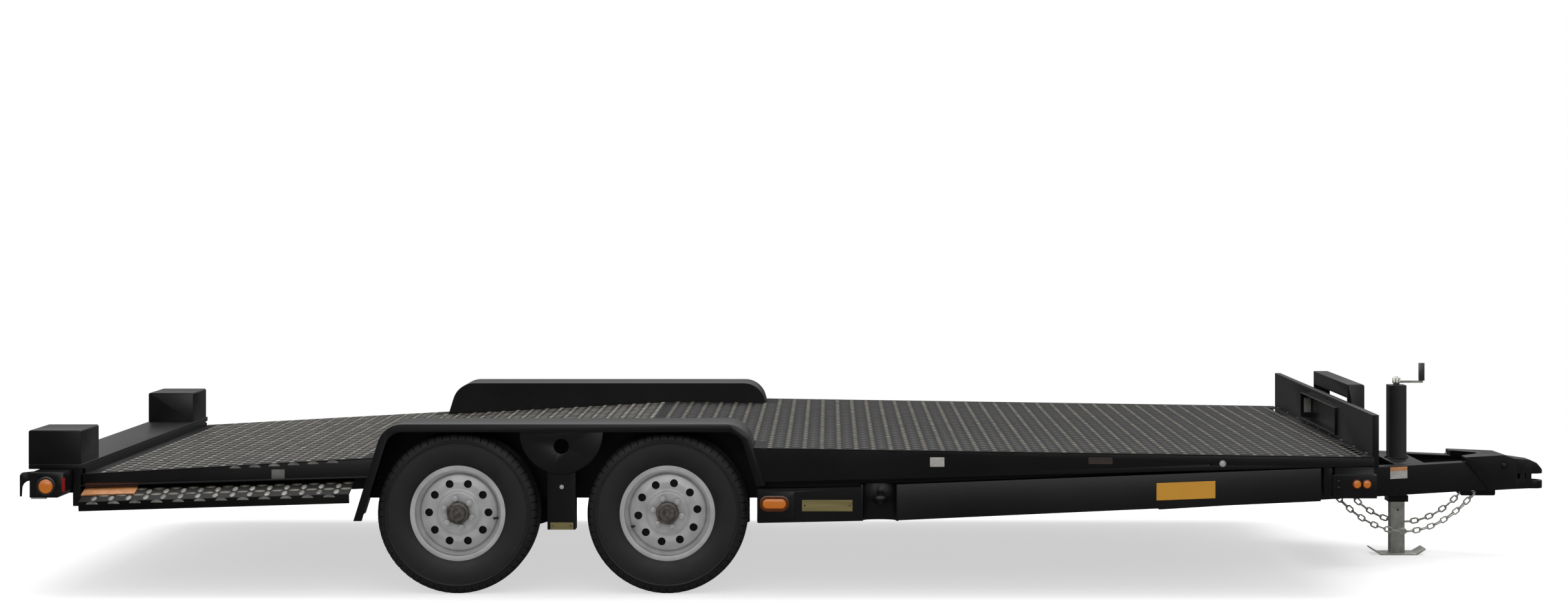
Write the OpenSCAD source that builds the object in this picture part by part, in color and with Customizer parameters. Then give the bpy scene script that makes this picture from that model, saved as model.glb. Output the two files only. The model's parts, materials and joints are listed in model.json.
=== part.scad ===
// Tandem-axle car trailer with a folded tread-plate deck, in millimetres.
// X points forward to the coupler, Z is up from the ground and the right-hand side is at negative Y.

/* [Deck] */
// Length of the front deck, from the fold to the headboard
front_deck_l = 2736; // [2500:1:3000]
// Length of the tail deck, from its rear edge to the fold
tail_deck_l = 2092; // [1950:1:2300]
// Width across the front deck and the fenders
deck_w = 2280; // [2200:1:2400]
// How far the tail deck stands in from the front deck's edge
tail_inset = 123; // [105:1:150]
// Width of a wheel well, in from the deck's edge
well_d = 260; // [252:1:285]
// Height of the deck at its fold
fold_z = 555; // [540:1:575]
// How far the deck falls from the fold to the headboard
front_drop = 41; // [10:1:60]
// How far the deck falls from the fold to its rear edge
tail_drop = 116; // [90:1:125]
// Thickness of the folded sheet
sheet_t = 4; // [3:0.5:5]
// Distance from the headboard to the nose of the coupler
tongue_l = 920; // [860:1:1000]
// Distance from the deck's rear edge to the rear hooks
rear_l = 212; // [205:1:240]

/* [Wheels] */
// Outside diameter of a tyre
tyre_d = 600; // [580:1:606]
// Width of a tyre
tyre_w = 175; // [165:1:185]
// Distance between the two axles
axle_gap = 782; // [760:1:830]
// Distance from the deck's fold back to the middle of the two axles
axle_back = 283; // [260:1:310]
// How far the tyres stand in from the deck's edge
tyre_inset = 30; // [20:1:40]
// Radius of the rim's flange
rim_r = 179; // [174:1:184]
// Radius of the circle of hand holes
hand_hole_ring_r = 111; // [108:0.5:114]
// Diameter of a hand hole
hand_hole_d = 30; // [24:0.5:33]
// Number of hand holes
hand_holes = 10; // [8:1:12]
// Radius of the circle of wheel studs
stud_ring_r = 55; // [53:0.5:58]
// Number of wheel studs
studs = 6; // [5:1:6]
// Diameter of the spindle
spindle_d = 36; // [32:1:40]
// Radial running gap between spindle and hub
spindle_gap = 0.1; // [0.05:0.01:0.1]

/* [Fenders] */
// Height of the fender's top
fender_z = 637; // [628:1:660]
// Depth of the fender's outer lip
lip_h = 30; // [22:1:36]
// From the middle of the axles forward to the foot of the front leg
fender_front_l = 755; // [740:1:790]
// From the middle of the axles back to the foot of the rear leg
fender_rear_l = 772; // [760:1:800]
// Height of the front leg's foot
fender_front_z = 407; // [402:1:420]
// Height of the rear leg's foot
fender_rear_z = 277; // [265:1:300]
// How far each fender leg leans over its height, as a ratio
fender_lean = 0.31; // [0.28:0.01:0.33]
// Bend radius of the fender's corners
fender_r = 95; // [70:1:105]
// Height of the well panel's lower edge
well_panel_z = 334; // [332:1:345]
// Radius of the half-round pivot plate
pivot_r = 155; // [145:1:165]
// Radius of the pivot plate's hole
pivot_hole_r = 28; // [22:0.5:32]
// Height of the middle of the pivot plate's hole
pivot_hole_z = 554; // [548:1:560]
// Width of the post between the wheels
post_w = 105; // [90:1:115]
// Height of the post's lower end
post_foot_z = 244; // [235:1:260]

/* [Side frame] */
// Height of the upper fascia's lower edge at the fender
fascia_rear_z = 422; // [418:1:430]
// Height of the upper fascia's lower edge at the headboard
fascia_front_z = 482; // [480:1:486]
// Height of the side beam's top at the latch recess
beam_top_rear_z = 413; // [405:1:416]
// Height of the side beam's top at its front end
beam_top_front_z = 473; // [465:1:475]
// Height of the side beam's underside at the latch recess
beam_low_rear_z = 280; // [272:1:295]
// Height of the side beam's underside at its front end
beam_low_front_z = 351; // [345:1:356]
// Length of the closed block at the beam's rear end
block_l = 388; // [370:1:400]
// Length of the latch recess
recess_l = 133; // [110:1:140]
// Distance from the headboard back to the beam's front end
beam_set_back = 200; // [190:1:215]
// Depth of the beam's and the fascia's flanges
flange_w = 45; // [35:1:50]
// Height of the crossmembers under the deck
cross_h = 50; // [40:1:54]
// Width of a crossmember
cross_w = 60; // [45:1:70]
// Distance between neighbouring crossmembers
cross_pitch = 520; // [480:1:560]

/* [Tail] */
// Width of a side step, out from the tail deck
step_drop = 39; // [30:1:48]
// Depth of the step's outer edge
step_edge_h = 35; // [28:1:40]
// Height of the step's inner edge at its rear end
step_z = 387; // [383:1:392]
// How much the step rises towards the front, as a ratio
step_rise = 0.03; // [0.02:0.005:0.035]
// Length of a side step
step_l = 1006; // [960:1:1020]
// Length of a tail box
tail_box_l = 197; // [180:1:199]
// Width of a tail box
tail_box_w = 248; // [200:1:280]
// Height of a tail box's top
tail_box_top_z = 603; // [580:1:620]
// Height of a tail box's foot
tail_box_z = 476; // [470:1:484]
// Length of a lamp box
lamp_box_l = 126; // [115:1:140]
// Depth of a lamp box, across the trailer
lamp_box_w = 160; // [140:1:180]
// Height of a lamp box's top
lamp_box_top_z = 457; // [450:1:462]
// Height of a lamp box's underside
lamp_box_low_z = 364; // [355:1:370]
// Radius of the round marker lamp's lens
marker_r = 27; // [22:0.5:29]

/* [Headboard] */
// How far the headboard stands in from the deck's edge
headboard_inset = 40; // [20:1:80]
// Height of the headboard's top
headboard_z = 667; // [640:1:690]
// Depth of the headboard's folded edges
headboard_d = 24; // [18:1:30]
// Width of the opening in the headboard
opening_w = 780; // [740:1:800]
// Height of the opening's lower edge over the deck
opening_low = 12; // [8:1:30]
// Height of the headboard left over the opening
opening_top = 32; // [24:1:40]
// Depth of the opening's frame
pocket_d = 44; // [36:1:50]
// Height of the winch arch
arch_z = 727; // [700:1:740]
// Width of the winch arch
arch_w = 760; // [720:1:780]
// Depth of the winch arch, front to back
arch_d = 67; // [55:1:75]
// Height of the arch's cross beam
arch_beam_h = 56; // [45:1:60]
// Distance from the headboard to the winch arch
arch_gap = 46; // [46:1:70]

/* [Tongue] */
// Half angle between the two tongue beams
tongue_angle = 25; // [24:0.5:26]
// Height of the tongue beams' underside
tongue_low_z = 277; // [270:1:285]
// Height of a tongue beam
tongue_h = 119; // [110:1:122]
// Width of a tongue beam
tongue_beam_w = 52; // [45:1:60]
// Length of the coupler, from its nose back to the tips of its arms
coupler_l = 355; // [345:1:365]
// Distance from the nose back to where the tongue beams end under the deck
tongue_reach = 1680; // [1600:1:1720]
// Diameter of the coupler's ball socket
socket_d = 51.5; // [51:0.1:53]
// Distance from the nose back to the middle of the socket
socket_back = 42; // [40:1:46]

/* [Jack] */
// Distance from the nose back to the middle of the jack
jack_back = 600; // [580:1:620]
// Width of the outer tube
jack_tube_w = 70; // [66:1:76]
// Wall of the outer tube
jack_wall = 6; // [5:0.5:7]
// Running gap around the inner leg
leg_gap = 0.4; // [0.3:0.05:0.5]
// Height of the outer tube's lower end
jack_low_z = 218; // [214:1:225]
// Height of the outer tube's top
jack_top_z = 692; // [680:1:710]
// Length of the inner leg
jack_leg_l = 470; // [440:1:480]
// Length of the jack's foot
foot_l = 220; // [200:1:240]
// Width of the jack's foot
foot_w = 108; // [90:1:112]
// Throw of the crank
crank_throw = 104; // [90:1:120]
// Length of the crank's grip
grip_l = 72; // [60:1:85]

/* [Chains] */
// Inside length of a chain link
link_l = 32; // [30:0.5:34]
// Thickness of the links' wire
wire_d = 7; // [6:0.5:7]
// Inside width of a chain link
link_w = 12; // [11:0.5:13]
// Number of links in the right chain
links_right = 22; // [20:2:22]
// Number of links in the left chain
links_left = 18; // [16:2:18]
// Size of the right chain's hanging curve: smaller hangs deeper
curve_right = 320; // [300:1:340]
// Size of the left chain's hanging curve
curve_left = 230; // [220:1:250]
// Height of the middle of the chains' end links
chain_end_z = 244; // [238:1:246]
// Distance from the nose back to the front end of the right chain
chain_back = 296; // [290:1:300]
// How much further back the left chain is hooked in its slot
hook_shift = 36; // [0:1:38]
// Distance of the chains' front ends from the middle
chain_front_y = 36; // [32:1:40]
// Distance of the chains' rear ends from the middle
chain_rear_y = 148; // [130:1:165]

/* [Hidden] */
$fn = 48;

black = "#1b1b1d";
silver = "#8f9092";
zinc = "#9a9a96";
amber = "#c8711e";

// Stations along the trailer, with X = 0 halfway between the nose and the rear hooks
nose_x = (tongue_l + front_deck_l + tail_deck_l + rear_l) / 2;
front_x = nose_x - tongue_l;
fold_x = front_x - front_deck_l;
tail_x = fold_x - tail_deck_l;
hook_x = tail_x - rear_l;
tandem_x = fold_x - axle_back;
front_axle_x = tandem_x + axle_gap / 2;
rear_axle_x = tandem_x - axle_gap / 2;

side_y = deck_w / 2;
tail_y = side_y - tail_inset;
well_y = side_y - well_d;
well_out_y = well_y + sheet_t;
tyre_r = tyre_d / 2;
wheel_y = side_y - tyre_inset - tyre_w / 2;
touch = 0.3;
seat = 0.05;
high = 2 * fold_z;

// Height of the deck's top at a station
function deck_z(x) = x > fold_x
    ? fold_z - front_drop * (x - fold_x) / front_deck_l
    : fold_z - tail_drop * (fold_x - x) / tail_deck_l;

// Outer face of the fender's legs at a height
function leg_front_x(z) = tandem_x + fender_front_l - fender_lean * (z - fender_front_z);
function leg_rear_x(z) = tandem_x - fender_rear_l + fender_lean * (z - fender_rear_z);
leg_slant = sqrt(1 + fender_lean * fender_lean);

well_front_x = leg_front_x(deck_z(tandem_x + fender_front_l) - sheet_t) + touch;
well_rear_x = leg_rear_x(deck_z(tandem_x - fender_rear_l) - sheet_t) - touch;

// Height at which a line beside the front leg comes to a depth below the deck's top
function leg_top_z(depth) = let (
    fall = front_drop / front_deck_l,
    foot_x = tandem_x + fender_front_l + touch + fender_lean * fender_front_z
) (fold_z - depth - fall * (foot_x - fold_x)) / (1 - fall * fender_lean);

// Height on the straight line between two ends
function ramp(x, x0, z0, x1, z1) = z0 + (z1 - z0) * (x - x0) / (x1 - x0);

block_x = tandem_x + fender_front_l - 28;
recess_x = block_x + block_l;
beam_x = recess_x + recess_l;
beam_end_x = front_x - beam_set_back;
fascia_x = leg_front_x(fascia_rear_z);
function fascia_z(x) = ramp(x, fascia_x, fascia_rear_z, front_x, fascia_front_z);
function beam_top_z(x) = ramp(x, beam_x, beam_top_rear_z, beam_end_x, beam_top_front_z);
function beam_low_z(x) = ramp(x, beam_x, beam_low_rear_z, beam_end_x, beam_low_front_z);
function under_z(x) = deck_z(x) - sheet_t - cross_h;

// Rounded outline: each point is [x, y, radius]
function unit(v) = v / norm(v);
function bend(a, b, c, r, n) = r <= 0 ? [b] : let (
    u = unit(a - b),
    w = unit(c - b),
    half = acos(u * w) / 2,
    centre = b + unit(u + w) * r / sin(half),
    from = b + u * r / tan(half) - centre,
    to = b + w * r / tan(half) - centre,
    a0 = atan2(from.y, from.x),
    turn = (atan2(to.y, to.x) - a0 + 540) % 360 - 180
) [for (i = [0:n]) centre + r * [cos(a0 + turn * i / n), sin(a0 + turn * i / n)]];
function rounded(points, n = 6) = let (count = len(points)) [for (i = [0:count - 1]) let (
    a = points[(i + count - 1) % count],
    b = points[i],
    c = points[(i + 1) % count]
) each bend([a.x, a.y], [b.x, b.y], [c.x, c.y], b.z, n)];

// A side outline drawn in X and Z, pulled across from y0 to y1
module along_y(y0, y1) {
    rotate([90, 0, 0]) translate([0, 0, -y1]) linear_extrude(y1 - y0) children();
}

// An end outline drawn in Y and Z, pulled forward from x0 to x1
module along_x(x0, x1) {
    translate([x0, 0, 0]) rotate([90, 0, 90]) linear_extrude(x1 - x0) children();
}

// A plan outline pulled up from z0 to z1
module along_z(z0, z1) {
    translate([0, 0, z0]) linear_extrude(z1 - z0) children();
}

module block(x0, x1, y0, y1, z0, z1) {
    translate([x0, y0, z0]) cube([x1 - x0, y1 - y0, z1 - z0]);
}

module both_sides() {
    children();
    mirror([0, 1, 0]) children();
}

// side is -1 on the right, as drawn, and 1 on the left
module on_side(side) {
    if (side < 0) children();
    else mirror([0, 1, 0]) children();
}

// A strip that follows the deck, down from a depth below its top
module deck_strip(x0, x1, depth, h) {
    xs = x0 < fold_x && x1 > fold_x ? [x0, fold_x, x1] : [x0, x1];
    last = len(xs) - 1;
    polygon(concat(
        [for (x = xs) [x, deck_z(x) - depth]],
        [for (i = [last:-1:0]) [xs[i], deck_z(xs[i]) - depth - h]]));
}

// Tie-down slots beside the headboard
slot_w = 26;
slot_l = 390;
slot_y1 = side_y - 100;
slot_y0 = slot_y1 - slot_l;
slot_x = front_x - 28;

module deck_main() {
    color(black) difference() {
        intersection() {
            along_y(-side_y, side_y) deck_strip(fold_x, front_x, 0, sheet_t);
            along_z(0, high) polygon([
                [fold_x, -well_y], [well_front_x, -well_y], [well_front_x, -side_y],
                [front_x, -side_y], [front_x, side_y], [well_front_x, side_y],
                [well_front_x, well_y], [fold_x, well_y]]);
        }
        both_sides() for (y = [slot_y0, slot_y1]) translate([slot_x, -y, 0])
            cylinder(d = slot_w, h = high);
        both_sides() block(slot_x - slot_w / 2, slot_x + slot_w / 2, -slot_y1, -slot_y0, 0, high);
    }
}

module deck_tail() {
    color(black) intersection() {
        along_y(-tail_y, tail_y) deck_strip(tail_x, fold_x, 0, sheet_t);
        along_z(0, high) polygon([
            [tail_x, -tail_y], [well_rear_x, -tail_y], [well_rear_x, -well_y],
            [fold_x, -well_y], [fold_x, well_y], [well_rear_x, well_y],
            [well_rear_x, tail_y], [tail_x, tail_y]]);
    }
}

// Upper fascia: a folded channel whose rear end lies along the fender's leg
module fascia_outline(inset) {
    top = sheet_t + seat + inset;
    z1 = leg_top_z(top);
    polygon([
        [leg_front_x(fascia_rear_z + inset) + touch, fascia_z(fascia_x) + inset],
        [front_x, fascia_z(front_x) + inset],
        [front_x, deck_z(front_x) - top],
        [leg_front_x(z1) + touch, z1]]);
}

knob_back = 607;
knob_drop = 36;
knob_d = 8;
module deck_fascia(side) {
    color(black) on_side(side) difference() {
        along_y(-side_y, -side_y + flange_w) fascia_outline(0);
        difference() {
            along_y(-side_y + sheet_t, -side_y + flange_w + 1) fascia_outline(sheet_t);
            block(tandem_x, leg_front_x(fascia_rear_z) + sheet_t, -side_y, 0, 0, high);
        }
        translate([front_x - knob_back, -side_y - 1, deck_z(front_x - knob_back) - knob_drop])
            rotate([-90, 0, 0]) cylinder(d = knob_d, h = sheet_t + 2);
    }
}

// Lower side beam: a closed rear block, a recess with the latch, and a channel that tapers to the front
module beam_outline(inset) {
    polygon([
        [beam_x + inset, beam_low_z(beam_x) + inset],
        [beam_end_x - inset, beam_low_z(beam_end_x) + inset],
        [beam_end_x - inset, beam_top_z(beam_end_x) - inset],
        [beam_x + inset, beam_top_z(beam_x) - inset]]);
}

block_low_z = 270;
block_top_z = 404;
block_d = 62;
module block_outline(inset) {
    polygon(rounded([
        [block_x + inset, block_low_z + inset, 6],
        [recess_x - inset, recess_low_z + inset, 0],
        [recess_x - inset, block_top_z - inset, 0],
        [block_x + inset, block_top_z - 8 - inset, 6]]));
}

// A web behind the gap between the beam and the fascia, up to where the gap closes
web_end_x = front_x - 700;
web_lap = 8;
module web_outline() {
    foot_x = leg_front_x(fender_front_z) + touch;
    polygon([
        [block_x + sheet_t, block_low_z + sheet_t], [beam_x, beam_low_z(beam_x) + sheet_t],
        [web_end_x, beam_low_z(web_end_x) + sheet_t], [web_end_x, fascia_z(web_end_x) + web_lap],
        [foot_x, fascia_z(foot_x) + web_lap], [foot_x, block_top_z - 8 - sheet_t],
        [block_x + sheet_t, block_top_z - 8 - sheet_t]]);
}

// The latch's recess: a trough of bent sheet, open to the side, with the latch standing in it
recess_low_z = beam_low_z(beam_x) - 2;
trough_d = 54;
latch_x = (recess_x + beam_x) / 2 + 3;
latch_y = side_y - 21;
latch_z = 330;
latch_r = 27;
module trough_plan(inset) {
    mid = (recess_x + beam_x) / 2;
    half = recess_l / 2 - inset;
    polygon([for (i = [0:12]) let (a = i * 15) [
        mid - half * cos(a), -side_y + (trough_d - inset) * pow(sin(a), 0.6)]]);
}

module recess() {
    along_z(recess_low_z, beam_top_rear_z) difference() {
        translate([recess_x - sheet_t, -side_y]) square([recess_l + 2 * sheet_t, trough_d]);
        translate([0, -1]) trough_plan(sheet_t);
    }
}

module latch() {
    translate([latch_x, -latch_y, latch_z]) rotate_extrude($fn = 32) polygon(rounded([
        [0, 0, 0], [5, 0, 2], [5, 8, 0], [15, 8, 2], [15, 19, 2], [latch_r - 6, 21, 3], [latch_r, 30, 3],
        [latch_r - 6, 41, 3], [8, 44, 0], [8, 53, 0], [10, 53, 1], [10, 59, 2], [0, 59, 0]], 3));
    block(latch_x - 12, latch_x + 12, -latch_y, -side_y + trough_d - sheet_t / 2, latch_z + 27, latch_z + 35);
}

module side_beam(side) {
    color(black) on_side(side) {
        difference() {
            along_y(-side_y, -side_y + block_d) block_outline(0);
            along_y(-side_y + sheet_t, -side_y + block_d + 1) block_outline(sheet_t);
        }
        difference() {
            along_y(-side_y, -side_y + block_d) beam_outline(0);
            along_y(-side_y + sheet_t, -side_y + block_d + 1) beam_outline(sheet_t);
        }
        along_y(-side_y + block_d - sheet_t, -side_y + block_d) web_outline();
        recess();
        latch();
        // Raised plate behind the oval lamp
        along_y(-side_y - lamp_plate_t, -side_y + 1) polygon(rounded([
            [block_x + 4, block_low_z + 15, 0], [block_x + lamp_plate_l, block_low_z + 15, 0],
            [block_x + lamp_plate_l, block_top_z - 15, 8], [block_x + 4, block_top_z - 18, 2]]));
    }
}

lamp_plate_l = 139;
lamp_plate_t = 5;

// Channels across the underside of the deck
cross_xs = [for (i = [0:3]) front_x - 110 - i * cross_pitch];
cross_y = side_y - flange_w - 2;
tail_cross_xs = [tail_x + cross_w, (tail_x + well_rear_x) / 2, well_rear_x - cross_w];
tail_cross_y = tail_y - 2 * sheet_t - touch;
well_cross_xs = [tandem_x, fold_x - cross_w];
module crossmember(x, half) {
    color(black) difference() {
        along_y(-half, half) deck_strip(x - cross_w / 2, x + cross_w / 2, sheet_t + seat, cross_h - 2 * seat);
        along_y(-half - 1, half + 1)
            deck_strip(x - cross_w / 2 + sheet_t, x + cross_w / 2 + 1, 2 * sheet_t, cross_h - 2 * sheet_t);
    }
}

module crossmembers() {
    for (x = cross_xs) crossmember(x, cross_y);
    for (x = tail_cross_xs) crossmember(x, tail_cross_y);
    for (x = well_cross_xs) crossmember(x, well_y);
}

// Two rails under the crossmembers, level at the front and falling with the deck at the tail
rail_y = well_y - 180;
rail_w = 50;
rail_low_z = 396;
rail_tail_h = 78;
rail_x = tail_x + 20;
module rail_outline(inset) {
    polygon([
        [rail_x + inset, under_z(rail_x) - rail_tail_h + inset],
        [fold_x, rail_low_z + inset], [front_x - inset, rail_low_z + inset],
        [front_x - inset, under_z(front_x) - inset], [fold_x, under_z(fold_x) - inset],
        [rail_x + inset, under_z(rail_x) - inset]]);
}

module main_rails() {
    color(black) both_sides() difference() {
        along_y(-rail_y - rail_w / 2, -rail_y + rail_w / 2) rail_outline(0);
        along_y(-rail_y - rail_w / 2 + sheet_t, -rail_y + rail_w / 2 + 1) rail_outline(sheet_t);
    }
}

// Tail fascia: a folded edge under the tail deck, with a flange turned outwards over the step
tail_flange_w = 26;
function tail_fascia_z(x) = step_z + 2 * sheet_t + step_rise * (x - tail_x);
module tail_fascia_outline(h) {
    front_low = leg_rear_x(tail_fascia_z(well_rear_x)) - 2 * touch;
    front_z = tail_fascia_z(front_low);
    top = h > 0 ? front_z + h : deck_z(well_rear_x) - sheet_t - seat;
    polygon([
        [tail_x, tail_fascia_z(tail_x)], [front_low, front_z],
        [h > 0 ? front_low : well_rear_x, top],
        [tail_x, h > 0 ? tail_fascia_z(tail_x) + h : deck_z(tail_x) - sheet_t - seat]]);
}

module tail_fascias() {
    color(black) both_sides() {
        along_y(-tail_y, -tail_y + sheet_t) tail_fascia_outline(0);
        along_y(-tail_y - tail_flange_w, -tail_y) tail_fascia_outline(sheet_t);
    }
}

upstand_h = 40;

// Side steps: tread plates that lean outwards, with a folded outer edge and an upstand behind the fascia
module side_steps() {
    inner = tail_y - sheet_t;
    color(black) both_sides() translate([tail_x + 15, 0, step_z]) rotate([0, -atan(step_rise), 0])
        along_x(0, step_l) polygon([
            [-side_y, -step_drop - step_edge_h], [-side_y + sheet_t, -step_drop - step_edge_h],
            [-side_y + sheet_t, -step_drop - sheet_t], [-inner + sheet_t, -sheet_t],
            [-inner + sheet_t, upstand_h], [-inner, upstand_h], [-inner, 0], [-side_y, -step_drop]]);
}

// Rear cross beam with a platform for the tail boxes and a post at each corner
bumper_x0 = hook_x + 8;
bumper_x1 = tail_x;
bumper_in_y = side_y - lamp_box_w;
lamp_box_x = hook_x + 48;
post_x = lamp_box_x + lamp_box_l + touch;
post_low_z = lamp_box_low_z - 46;
module rear_bumper() {
    color(black) {
        difference() {
            block(bumper_x0, bumper_x1, -tail_y, tail_y, lamp_box_top_z, tail_box_z);
            block(bumper_x0 + sheet_t, bumper_x1 - sheet_t, -tail_y + sheet_t, tail_y - sheet_t,
                lamp_box_top_z - 1, tail_box_z - sheet_t);
        }
        difference() {
            block(bumper_x0 + 30, bumper_x1, -bumper_in_y, bumper_in_y, lamp_box_low_z, lamp_box_top_z);
            block(bumper_x0 + 30 + sheet_t, bumper_x1 - sheet_t, -bumper_in_y - 1, bumper_in_y + 1,
                lamp_box_low_z + sheet_t, lamp_box_top_z + 1);
        }
        both_sides() block(post_x, post_x + 30, -tail_y, -tail_y + 36, post_low_z, lamp_box_top_z);
    }
}

// Covers of bent sheet over the rear corners, open below
tail_box_r = 8;
module tail_box_outline(inset) {
    polygon(rounded([
        [bumper_x0 + inset, tail_box_z - inset, 0],
        [bumper_x0 + inset, tail_box_top_z - inset, tail_box_r - min(inset, tail_box_r / 2)],
        [bumper_x0 + tail_box_l - inset, tail_box_top_z - inset, tail_box_r - min(inset, tail_box_r / 2)],
        [bumper_x0 + tail_box_l - inset, tail_box_z - inset, 0]]));
}

module tail_boxes() {
    color(black) both_sides() difference() {
        along_y(-tail_y, -tail_y + tail_box_w) tail_box_outline(0);
        along_y(-tail_y + sheet_t, -tail_y + tail_box_w - sheet_t) tail_box_outline(sheet_t);
    }
}

// Housings of the round side markers, with their front lower corner cut away
module lamp_box_outline(inset) {
    x1 = lamp_box_x + lamp_box_l;
    polygon([
        [lamp_box_x + inset, lamp_box_low_z + inset], [x1 - 22 - inset, lamp_box_low_z + inset],
        [x1 - inset, lamp_box_low_z + 24 + inset], [x1 - inset, lamp_box_top_z - inset],
        [lamp_box_x + inset, lamp_box_top_z - inset]]);
}

marker_x = hook_x + 110;
marker_z = 407;
module lamp_boxes() {
    color(black) both_sides() difference() {
        along_y(-side_y, -side_y + lamp_box_w) lamp_box_outline(0);
        along_y(-side_y + sheet_t, -side_y + lamp_box_w - sheet_t) lamp_box_outline(sheet_t);
        at_lamp(marker_x, side_y + 1, marker_z) cylinder(r = marker_r - 6, h = sheet_t + 2);
    }
}

// Curved hooks at the very rear
module rear_hooks() {
    color(black) both_sides() along_y(-side_y + 40, -side_y + 48) polygon(rounded([
        [hook_x, lamp_box_low_z, 0], [hook_x + 6, lamp_box_low_z, 0],
        [hook_x + 9, lamp_box_top_z - 40, 30], [lamp_box_x, lamp_box_top_z - 32, 0],
        [lamp_box_x, lamp_box_top_z, 0], [hook_x + 8, lamp_box_top_z - 4, 10],
        [hook_x, lamp_box_top_z - 14, 4]]));
}

// Red lamps in the bumper's rear face
module tail_lamps() {
    color("#8c1616") both_sides() along_x(bumper_x0 + 16, bumper_x0 + 30)
        polygon(rounded([
            [-bumper_in_y + 20, lamp_box_low_z + 22, 20], [-bumper_in_y + 180, lamp_box_low_z + 22, 20],
            [-bumper_in_y + 180, lamp_box_top_z - 22, 20], [-bumper_in_y + 20, lamp_box_top_z - 22, 20]]));
}

// Amber reflectors on the side beam, in line with its edges
reflector_x = front_x - 810;
reflector_l = 218;
reflector_h = 64;
reflector_t = 4;
module side_reflectors() {
    slope = (beam_top_front_z - beam_top_rear_z) / (beam_end_x - beam_x);
    rise = slope * reflector_l;
    z0 = (beam_low_z(reflector_x) + beam_top_z(reflector_x) - reflector_h) / 2;
    color("#c9973a") both_sides() along_y(-side_y - reflector_t, -side_y) polygon([
        [reflector_x, z0], [reflector_x + reflector_l, z0 + rise],
        [reflector_x + reflector_l, z0 + rise + reflector_h], [reflector_x, z0 + reflector_h]]);
}

twin_r = 15;
twin_rim = 3;
twin_xs = [front_x - 29, front_x - 66];
twin_z = 415;
oval_x = block_x + 64;
oval_z = 343;
oval_half = 26;
oval_r = 18.5;
bezel_w = 9;
module oval(r) {
    for (dx = [-oval_half, oval_half]) translate([dx, 0, 0]) circle(r = r);
    square([2 * oval_half, 2 * r], center = true);
}

// Puts a round lamp's parts on a side face, with Z pointing inwards
module at_lamp(x, y, z) {
    translate([x, -y, z]) rotate([-90, 0, 0]) children();
}

lens_h = 12;
bezel_h = 8;
module marker_lamps() {
    color(amber) both_sides() {
        at_lamp(marker_x, side_y + lens_h, marker_z) cylinder(r = marker_r, h = lens_h);
        at_lamp(oval_x, side_y + lamp_plate_t + lens_h, oval_z) linear_extrude(lens_h) oval(oval_r);
        for (x = twin_xs) at_lamp(x, side_y + lens_h, twin_z) cylinder(r = twin_r, h = lens_h);
    }
}

module marker_bezels() {
    color(black) both_sides() {
        at_lamp(marker_x, side_y + bezel_h, marker_z) difference() {
            cylinder(r = marker_r + bezel_w, h = bezel_h);
            translate([0, 0, -1]) cylinder(r = marker_r + touch, h = bezel_h + 2);
        }
        at_lamp(oval_x, side_y + lamp_plate_t + bezel_h, oval_z) difference() {
            linear_extrude(bezel_h) oval(oval_r + bezel_w + 3);
            translate([0, 0, -1]) linear_extrude(bezel_h + 2) oval(oval_r + touch);
        }
        for (x = twin_xs) at_lamp(x, side_y + bezel_h, twin_z) difference() {
            cylinder(r = twin_r + twin_rim, h = bezel_h);
            translate([0, 0, -1]) cylinder(r = twin_r + touch, h = bezel_h + 2);
        }
    }
}

// The fender's outline in X and Z, moved in by an inset
function fender_points(inset, foot) = [
    [leg_rear_x(foot) + inset * leg_slant, foot, 0],
    [leg_rear_x(fender_z - inset) + inset * leg_slant, fender_z - inset, fender_r - inset],
    [leg_front_x(fender_z - inset) - inset * leg_slant, fender_z - inset, fender_r - inset],
    [leg_front_x(fender_front_z) - inset * leg_slant, fender_front_z, 0],
    [leg_front_x(fender_front_z) - inset * leg_slant, foot, 0]];

module fender_band(inset) {
    difference() {
        polygon(rounded(fender_points(0, fender_rear_z), 10));
        polygon(rounded(fender_points(inset, fender_rear_z - 1), 10));
        translate([tandem_x, 0]) square([fender_front_l * 2, fender_front_z]);
    }
}

module fender(side) {
    color(black) on_side(side) {
        along_y(-side_y, -side_y + sheet_t) fender_band(lip_h);
        along_y(-side_y, -well_out_y) fender_band(sheet_t);
    }
}

module wheel_well(side) {
    color(black) on_side(side) along_y(-well_out_y, -well_y) intersection() {
        polygon(rounded(fender_points(0, fender_rear_z), 10));
        translate([tandem_x - fender_rear_l * 2, well_panel_z])
            square([fender_rear_l * 4, fender_z - well_panel_z]);
    }
}

// Half-round pivot plate on the fender's lip, with the post that hangs below it between the wheels
pivot_y = side_y - sheet_t;
post_d = 60;
module pivot_posts() {
    plate_top = fender_z - sheet_t;
    lip_z = fender_z - lip_h;
    color(black) both_sides() {
        along_y(-pivot_y, -pivot_y + 8) difference() {
            intersection() {
                translate([tandem_x, lip_z]) circle(r = pivot_r);
                translate([tandem_x - pivot_r, lip_z - pivot_r - 1]) square([2 * pivot_r, pivot_r + 1]);
            }
            translate([tandem_x, pivot_hole_z]) circle(r = pivot_hole_r);
        }
        block(tandem_x - pivot_r, tandem_x + pivot_r, -pivot_y, -pivot_y + 8, lip_z, plate_top);
        block(tandem_x - post_w / 2, tandem_x + post_w / 2, -pivot_y + 8, -pivot_y + 8 + post_d,
            post_foot_z, lip_z - pivot_r + 40);
    }
}

// Axles: a cross tube with its seats under the rails, a spindle at each end, and ahead of each seat
// a hanger with the arm that carries the axle
axle_tube = 60;
hanger_l = 296;
hanger_w = 33;
hanger_low_z = 222;
function hanger_z(x) = x > fold_x ? rail_low_z
    : ramp(x, rail_x, under_z(rail_x) - rail_tail_h, fold_x, rail_low_z);

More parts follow.
